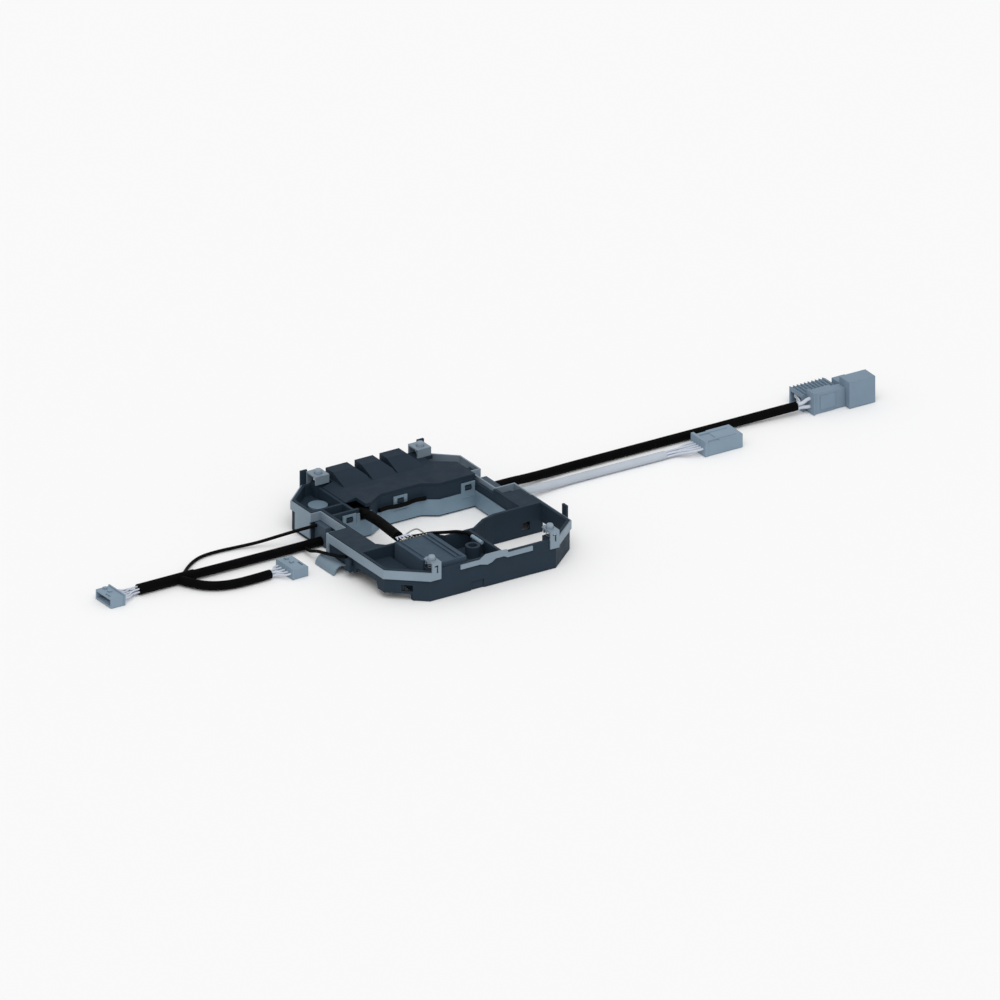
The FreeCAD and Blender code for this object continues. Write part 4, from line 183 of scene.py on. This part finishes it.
def make_finish():
    """Mottled colour, uneven gloss, fine surface grain, and edges lightened in patches, partly as scuffing and
    partly as a painted highlight, for moulded and folded parts.
    """
    group = bpy.data.node_groups.new("surface_finish", "ShaderNodeTree")
    for name, kind in FINISH_INPUTS:
        group.interface.new_socket(name, in_out="INPUT", socket_type=kind)
    for name, kind in FINISH_OUTPUTS:
        group.interface.new_socket(name, in_out="OUTPUT", socket_type=kind)
    asked = add_node(group, "NodeGroupInput").outputs
    place = add_node(group, "ShaderNodeTexCoord").outputs["Object"]

    broad = add_node(group, "ShaderNodeTexNoise", [("Vector", place), ("Scale", MOTTLE_SCALE),
                                                   ("Detail", MOTTLE_DETAIL)])
    darkest = add_node(group, "ShaderNodeMath", [(0, 1), (1, asked["Mottle"])], "SUBTRACT")
    lightest = add_node(group, "ShaderNodeMath", [(0, 1), (1, asked["Mottle"])], "ADD")
    shade = add_node(group, "ShaderNodeMapRange", [
        ("Value", broad.outputs["Fac"]), ("From Min", MOTTLE_RANGE[0]), ("From Max", MOTTLE_RANGE[1]),
        ("To Min", darkest.outputs[0]), ("To Max", lightest.outputs[0])])
    tinted = add_node(group, "ShaderNodeVectorMath", [(0, asked["Colour"]), ("Scale", shade.outputs["Result"])],
                      "SCALE")

    # Edges: a lighter edge colour mixed in along sharp edges in patches, partly scuffing and partly a painted
    # highlight standing in for light on rounded edges
    soft = add_node(group, "ShaderNodeBevel", [("Radius", EDGE_RADIUS)])
    soft.samples = EDGE_SAMPLES
    flat = add_node(group, "ShaderNodeNewGeometry")
    along = add_node(group, "ShaderNodeVectorMath", [(0, soft.outputs["Normal"]), (1, flat.outputs["Normal"])],
                     "DOT_PRODUCT")
    edge = add_node(group, "ShaderNodeMapRange", [("Value", along.outputs["Value"]), ("From Min", EDGE_WEAR_HIGHLIGHT_RANGE[0]),
                                                  ("From Max", EDGE_WEAR_HIGHLIGHT_RANGE[1])])
    edge_breakup = add_node(group, "ShaderNodeTexNoise", [("Vector", place), ("Scale", EDGE_WEAR_HIGHLIGHT_SCALE)])
    wear_and_highlight_mask = add_node(group, "ShaderNodeMath", [(0, edge.outputs["Result"]), (1, edge_breakup.outputs["Fac"])], "MULTIPLY")
    share = add_node(group, "ShaderNodeMath", [(0, wear_and_highlight_mask.outputs[0]), (1, asked["Edge Wear And Highlight"])], "MULTIPLY")
    mixed = add_node(group, "ShaderNodeMix")
    mixed.data_type = "RGBA"

    patchy = add_node(group, "ShaderNodeTexNoise", [("Vector", place), ("Scale", GLOSS_SCALE),
                                                    ("Detail", GLOSS_DETAIL)])
    gloss = add_node(group, "ShaderNodeMapRange", [
        ("Value", patchy.outputs["Fac"]), ("From Min", GLOSS_RANGE[0]), ("From Max", GLOSS_RANGE[1]),
        ("To Min", asked["Gloss Low"]), ("To Max", asked["Gloss High"])])

    grain = add_node(group, "ShaderNodeTexNoise", [("Vector", place), ("Scale", asked["Grain Scale"]),
                                                   ("Detail", GRAIN_DETAIL)])
    bump = add_node(group, "ShaderNodeBump", [
        ("Height", grain.outputs["Fac"]), ("Strength", asked["Grain Depth"]), ("Distance", GRAIN_HEIGHT),
        ("Normal", soft.outputs["Normal"])])

    link = group.links.new
    # The edge colour, partly scuffing and partly painted edge highlight, is mixed over the mottled colour
    link(share.outputs[0], mixed.inputs["Factor"])
    link(tinted.outputs["Vector"], mixed.inputs["A"])
    link(asked["Edge Colour"], mixed.inputs["B"])
    add_node(group, "NodeGroupOutput", [("Colour", mixed.outputs["Result"]),
                                        ("Roughness", gloss.outputs["Result"]),
                                        ("Normal", bump.outputs["Normal"])])
    return group


FINISH = make_finish()


def make_material(name, colour, edge, gloss=(0.45, 0.6), grain=(900, 0.04), edge_wear_and_highlight=0.35, metallic=0.0,
                  specular=0.06, mottle=0.05):
    """A material of the shared finish; gloss is the roughness range, grain its scale and depth; edge is the
    lighter colour mixed in along edges, partly scuffing and partly a painted highlight.
    """
    material = bpy.data.materials.new(name)
    material.use_nodes = True
    tree = material.node_tree
    finish = tree.nodes.new("ShaderNodeGroup")
    finish.node_tree = FINISH
    values = {"Colour": srgb(*colour), "Edge Colour": srgb(*edge), "Mottle": mottle, "Gloss Low": gloss[0],
              "Gloss High": gloss[1], "Grain Scale": grain[0], "Grain Depth": grain[1], "Edge Wear And Highlight": edge_wear_and_highlight}
    for socket, value in values.items():
        finish.inputs[socket].default_value = value
    shader = tree.nodes["Principled BSDF"]
    for given, taken in (("Colour", "Base Color"), ("Roughness", "Roughness"), ("Normal", "Normal")):
        tree.links.new(finish.outputs[given], shader.inputs[taken])
    shader.inputs["Metallic"].default_value = metallic
    shader.inputs["Specular IOR Level"].default_value = specular
    return material


RING_PITCH, RING_DEPTH, RING_STRENGTH = 1.8 * MM, 0.12 * MM, 0.6
RING_DISTORTION, RING_DETAIL = 0.4, 1


def add_rings(material):
    """Fine rings round a sleeve that lies along X, over its other finish."""
    tree = material.node_tree
    shader = tree.nodes["Principled BSDF"]
    place = add_node(tree, "ShaderNodeTexCoord").outputs["Object"]
    rings = add_node(tree, "ShaderNodeTexWave", [
        ("Vector", place), ("Scale", 2 * math.pi / (20 * RING_PITCH)), ("Distortion", RING_DISTORTION),
        ("Detail", RING_DETAIL)])
    rings.wave_type = "BANDS"
    rings.bands_direction = "X"
    bump = add_node(tree, "ShaderNodeBump", [
        ("Height", rings.outputs["Fac"]), ("Strength", RING_STRENGTH), ("Distance", RING_DEPTH),
        ("Normal", shader.inputs["Normal"].links[0].from_socket)])
    tree.links.new(bump.outputs["Normal"], shader.inputs["Normal"])


SATIN = {"gloss": (0.4, 0.55)}
FOLDED = {"gloss": (0.35, 0.5), "grain": (1400, 0.05), "metallic": 0.25}
# Each material's second colour is its edge colour, lighter than the first: partly scuffing along edges, partly a
# painted highlight of rounded edges
CARRIER = make_material("carrier_plastic", (41, 54, 66), (78, 94, 108))
COVER = make_material("cover_plastic", (38, 50, 62), (74, 90, 104))
MODULE = make_material("module_plastic", (64, 80, 95), (104, 122, 137))
MODULE_BASE = make_material("module_base_plastic", (55, 69, 82), (98, 114, 128))
RAIL = make_material("rail_steel", (134, 150, 163), (176, 190, 200), **FOLDED)
BAND = make_material("band_steel", (124, 146, 162), (160, 178, 190), **FOLDED)
PLUG = make_material("plug_plastic", (133, 152, 168), (170, 186, 198), **SATIN)
SOCKET = make_material("socket_plastic", (124, 143, 160), (160, 177, 190), **SATIN)
BLOCK = make_material("block_plastic", (69, 84, 97), (110, 126, 140))
HOLDER = make_material("holder_plastic", (42, 54, 66), (78, 92, 104))
GUIDE = make_material("guide_steel", (128, 146, 160), (165, 181, 193), gloss=(0.35, 0.5), metallic=0.2)
PIN = make_material("pin_plastic", (140, 155, 168), (176, 190, 200), gloss=(0.35, 0.5))
SPRING = make_material("spring_steel", (150, 158, 165), (190, 196, 200), gloss=(0.25, 0.4), metallic=0.9)
BOARD = make_material("circuit_laminate", (30, 92, 58), (70, 130, 90))
CONTACT = make_material("contact_tin", (196, 190, 170), (225, 220, 205), gloss=(0.25, 0.4), metallic=0.8)
WIRE = make_material("light_insulation", (196, 203, 215), (215, 220, 228), gloss=(0.35, 0.5), edge_wear_and_highlight=0.0)
GREY_WIRE = make_material("grey_insulation", (151, 153, 155), (170, 172, 174), gloss=(0.4, 0.5), edge_wear_and_highlight=0.0)
LEAD = make_material("black_lead", (4, 4, 5), (20, 20, 22), gloss=(0.6, 0.75), edge_wear_and_highlight=0.0, specular=0.08)
SLEEVE = make_material("black_sleeve", (4, 4, 5), (20, 20, 22), gloss=(0.65, 0.8), edge_wear_and_highlight=0.0, specular=0.05)
add_rings(SLEEVE)
WHITE_CABLE = make_material("white_jacket", (180, 188, 198), (200, 206, 214), edge_wear_and_highlight=0.0, **SATIN)

WEARS = {
    "carrier_frame": CARRIER, "rear_channel_cover": COVER, "module_cover": MODULE, "module_base": MODULE_BASE,
    "left_contact_rail": RAIL, "right_contact_rail": RAIL, "front_contact_strip": RAIL, "inner_shield_band": BAND,
    "left_wire_guide": GUIDE, "rear_left_contact_disc": BAND, "module_circuit_board": BOARD,
    "module_terminal_pins": CONTACT, "bay_terminal_holder": HOLDER, "bay_terminal_sleeve": PLUG,
    "left_cable_block": BLOCK, "right_cable_block": BLOCK, "left_plug_housing": PLUG, "branch_plug_housing": PLUG,
    "flat_plug_housing": PLUG, "end_plug_housing": SOCKET, "end_plug_cover": SOCKET, "end_socket": SOCKET,
    "crossover_wires": WIRE, "grey_loop_wire": GREY_WIRE, "left_plug_wires": WIRE, "branch_plug_wires": WIRE,
    "flat_plug_wires": WIRE, "end_plug_thick_wires": WIRE, "end_plug_thin_wires": WIRE,
}
for name in ("module_lead", "rear_inner_lead", "front_left_lead"):
    WEARS[name] = LEAD
for name in ("channel_loom", "crossover_sleeve", "left_end_sleeve"):
    WEARS[name] = SLEEVE
for name in NODES:
    if name.endswith("_contacts"):
        WEARS[name] = CONTACT
    elif name.endswith("_contact_pin"):
        WEARS[name] = PIN
    elif name.endswith("_pin_spring"):
        WEARS[name] = SPRING


def dress(piece, material):
    """Give a piece one material in place of all that it has."""
    piece.data.materials.clear()
    piece.data.materials.append(material)


for name, material in WEARS.items():
    dress(NODES[name], material)
COATS = {"left_main_sleeve": SLEEVE, "left_branch_sleeve": SLEEVE, "right_black_sleeve": SLEEVE,
         "left_thin_lead": LEAD, "right_white_cable": WHITE_CABLE}
for name, cable in CORDS.items():
    dress(cable, COATS[name])


# Small pieces that repeat are modelled once and copied

def place_copy(first, name, spot, material):
    """A copy of a piece with its own mesh, at a spot in metres, that rides on the carrier."""
    piece = first.copy()
    piece.data = first.data.copy()
    piece.name = name
    scene.collection.objects.link(piece)
    bpy.ops.object.select_all(action="DESELECT")
    piece.select_set(True)
    bpy.context.view_layer.objects.active = piece
    piece.location = spot
    bpy.ops.object.transform_apply(location=True, rotation=False, scale=False)
    dress(piece, material)
    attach(piece, ROOT)
    return piece


def select_faces(piece, test):
    """Select in edit mode the faces whose middle and normal pass a test."""
    bpy.ops.object.mode_set(mode="EDIT")
    bpy.ops.mesh.select_mode(type="FACE")
    bpy.ops.mesh.select_all(action="DESELECT")
    bpy.ops.object.mode_set(mode="OBJECT")
    for face in piece.data.polygons:
        face.select = test(face.center, face.normal)
    bpy.ops.object.mode_set(mode="EDIT")


# Seals round the thin wires where they enter the ribbed cover, in millimetres

SEAL_X = 314.8
SEAL_LENGTH = 2.8
SEAL_RADIUS = 1.5
SEAL_BORE = 0.6
SEAL_SIDES = 32
SEAL_LIPS = (-0.95, 0.0, 0.95)
LIP_WIDTH = 0.5
LIP_SHARE = 0.86
ROUNDING, ROUNDING_STEPS = 0.1, 2
SEAL_SMOOTH = math.radians(40)
THIN_WIRE_SPOTS = [(42.8, 3.6), (45.2, 5.4), (47.5, 7.2)]


def on_a_lip(middle, normal):
    """Whether a face is on the seal's side between a lip's two cuts."""
    return abs(normal.x) < 0.5 and any(abs(middle.x / MM - lip) < LIP_WIDTH / 5 for lip in SEAL_LIPS)


def on_an_end(middle, normal):
    """Whether a face is one of the seal's two ends."""
    return abs(normal.x) > 0.5 and abs(middle.x / MM) > 0.99 * SEAL_LENGTH / 2


def make_seal():
    """A bored seal with three lips round it, its axis along X."""
    core = SEAL_RADIUS * LIP_SHARE
    bpy.ops.object.select_all(action="DESELECT")
    bpy.ops.mesh.primitive_cylinder_add(vertices=SEAL_SIDES, radius=core * MM, depth=SEAL_LENGTH * MM,
                                        rotation=(0, math.pi / 2, 0))
    piece = bpy.context.object
    bpy.ops.object.transform_apply(location=True, rotation=True, scale=True)
    bpy.ops.object.mode_set(mode="EDIT")
    for lip in SEAL_LIPS:
        for side in (-1, 1):
            bpy.ops.mesh.select_all(action="SELECT")
            bpy.ops.mesh.bisect(plane_co=((lip + side * LIP_WIDTH / 2) * MM, 0, 0), plane_no=(1, 0, 0))
    bpy.ops.object.mode_set(mode="OBJECT")
    select_faces(piece, on_a_lip)
    bpy.ops.mesh.extrude_region_shrink_fatten(TRANSFORM_OT_shrink_fatten={"value": (SEAL_RADIUS - core) * MM})
    bpy.ops.object.mode_set(mode="OBJECT")
    select_faces(piece, on_an_end)
    bpy.ops.mesh.inset(thickness=(core - SEAL_BORE) * MM)
    bpy.ops.mesh.bridge_edge_loops()
    bpy.ops.object.mode_set(mode="OBJECT")
    rounding = piece.modifiers.new("rounding", "BEVEL")
    rounding.width = ROUNDING * MM
    rounding.segments = ROUNDING_STEPS
    bpy.ops.object.modifier_apply(modifier="rounding")
    bpy.ops.object.shade_smooth_by_angle(angle=SEAL_SMOOTH)
    return piece


seal = make_seal()
for number, (y, z) in enumerate(THIN_WIRE_SPOTS):
    place_copy(seal, "wire_seal_%d" % number, (SEAL_X * MM, y * MM, z * MM), WIRE)
bpy.data.objects.remove(seal)


# Springs below the contact pins, in millimetres

SPRING_WIRE = 0.45
SPRING_TURNS = 2.5
WIRE_SIDES = 12
STEPS_PER_TURN = 32
WELD_DISTANCE = 0.001
SPRING_SMOOTH = math.radians(50)
CORNERS = ("front_left", "front_right", "rear_left", "rear_right")


def make_spring(width, height):
    """A round wire wound up from the floor round the upright axis."""
    wire = SPRING_WIRE * MM
    bpy.ops.object.select_all(action="DESELECT")
    bpy.ops.mesh.primitive_circle_add(vertices=WIRE_SIDES, radius=wire / 2, fill_type="NGON",
                                      rotation=(math.pi / 2, 0, 0), location=((width - wire) / 2, 0, wire / 2))
    piece = bpy.context.object
    bpy.ops.object.transform_apply(location=True, rotation=True, scale=True)
    winding = piece.modifiers.new("winding", "SCREW")
    winding.angle = SPRING_TURNS * 2 * math.pi
    winding.screw_offset = height - wire
    winding.steps = round(SPRING_TURNS * STEPS_PER_TURN)
    winding.render_steps = winding.steps
    bpy.ops.object.modifier_apply(modifier="winding")
    bpy.ops.object.mode_set(mode="EDIT")
    bpy.ops.mesh.select_all(action="SELECT")
    bpy.ops.mesh.remove_doubles(threshold=WELD_DISTANCE * MM)
    bpy.ops.mesh.fill_holes(sides=0)
    bpy.ops.mesh.normals_make_consistent(inside=False)
    bpy.ops.object.mode_set(mode="OBJECT")
    bpy.ops.object.shade_smooth_by_angle(angle=SPRING_SMOOTH)
    return piece


low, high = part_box("front_left_pin_spring")
spring = make_spring(high.x - low.x, high.z - low.z)
for corner in CORNERS:
    name = corner + "_pin_spring"
    low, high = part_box(name)
    middle = (low + high) / 2
    seat = (middle.x, middle.y, low.z)
    wound = place_copy(spring, name + "_wire", seat, SPRING)
    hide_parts(name)
    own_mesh(wound)
bpy.data.objects.remove(spring)


# Floor and light

FLOOR_SIZE = 8
FLOOR_Z = -0.0004
FLOOR_COLOUR = (0.95, 0.95, 0.95, 1)
FLOOR_ROUGHNESS = 0.95
SKY_COLOUR = (1, 1, 1, 1)
SKY_STRENGTH = 0.66
SUN_STRENGTH = 1.25
SUN_WIDTH = math.radians(50)
SUN_TURN = (math.radians(28), math.radians(-14), 0)


def make_stage():
    """A plain pale floor that runs far past the picture."""
    bpy.ops.mesh.primitive_plane_add(size=FLOOR_SIZE, location=(0, 0, FLOOR_Z))
    floor = bpy.context.object
    floor.name = "studio_floor"
    paint = bpy.data.materials.new("pale_floor")
    paint.use_nodes = True
    shader = paint.node_tree.nodes["Principled BSDF"]
    shader.inputs["Base Color"].default_value = FLOOR_COLOUR
    shader.inputs["Roughness"].default_value = FLOOR_ROUGHNESS
    shader.inputs["Specular IOR Level"].default_value = 0
    dress(floor, paint)


def make_light():
    """Even light from all sides, with a broad soft sun from the front left."""
    world = bpy.data.worlds.new("studio_world")
    world.use_nodes = True
    scene.world = world
    sky = world.node_tree.nodes["Background"]
    sky.inputs["Color"].default_value = SKY_COLOUR
    sky.inputs["Strength"].default_value = SKY_STRENGTH
    bpy.ops.object.light_add(type="SUN", rotation=SUN_TURN)
    sun = bpy.context.object
    sun.name = "soft_sun"
    sun.data.energy = SUN_STRENGTH
    sun.data.angle = SUN_WIDTH


make_stage()
make_light()
scene.view_settings.view_transform = "Standard"
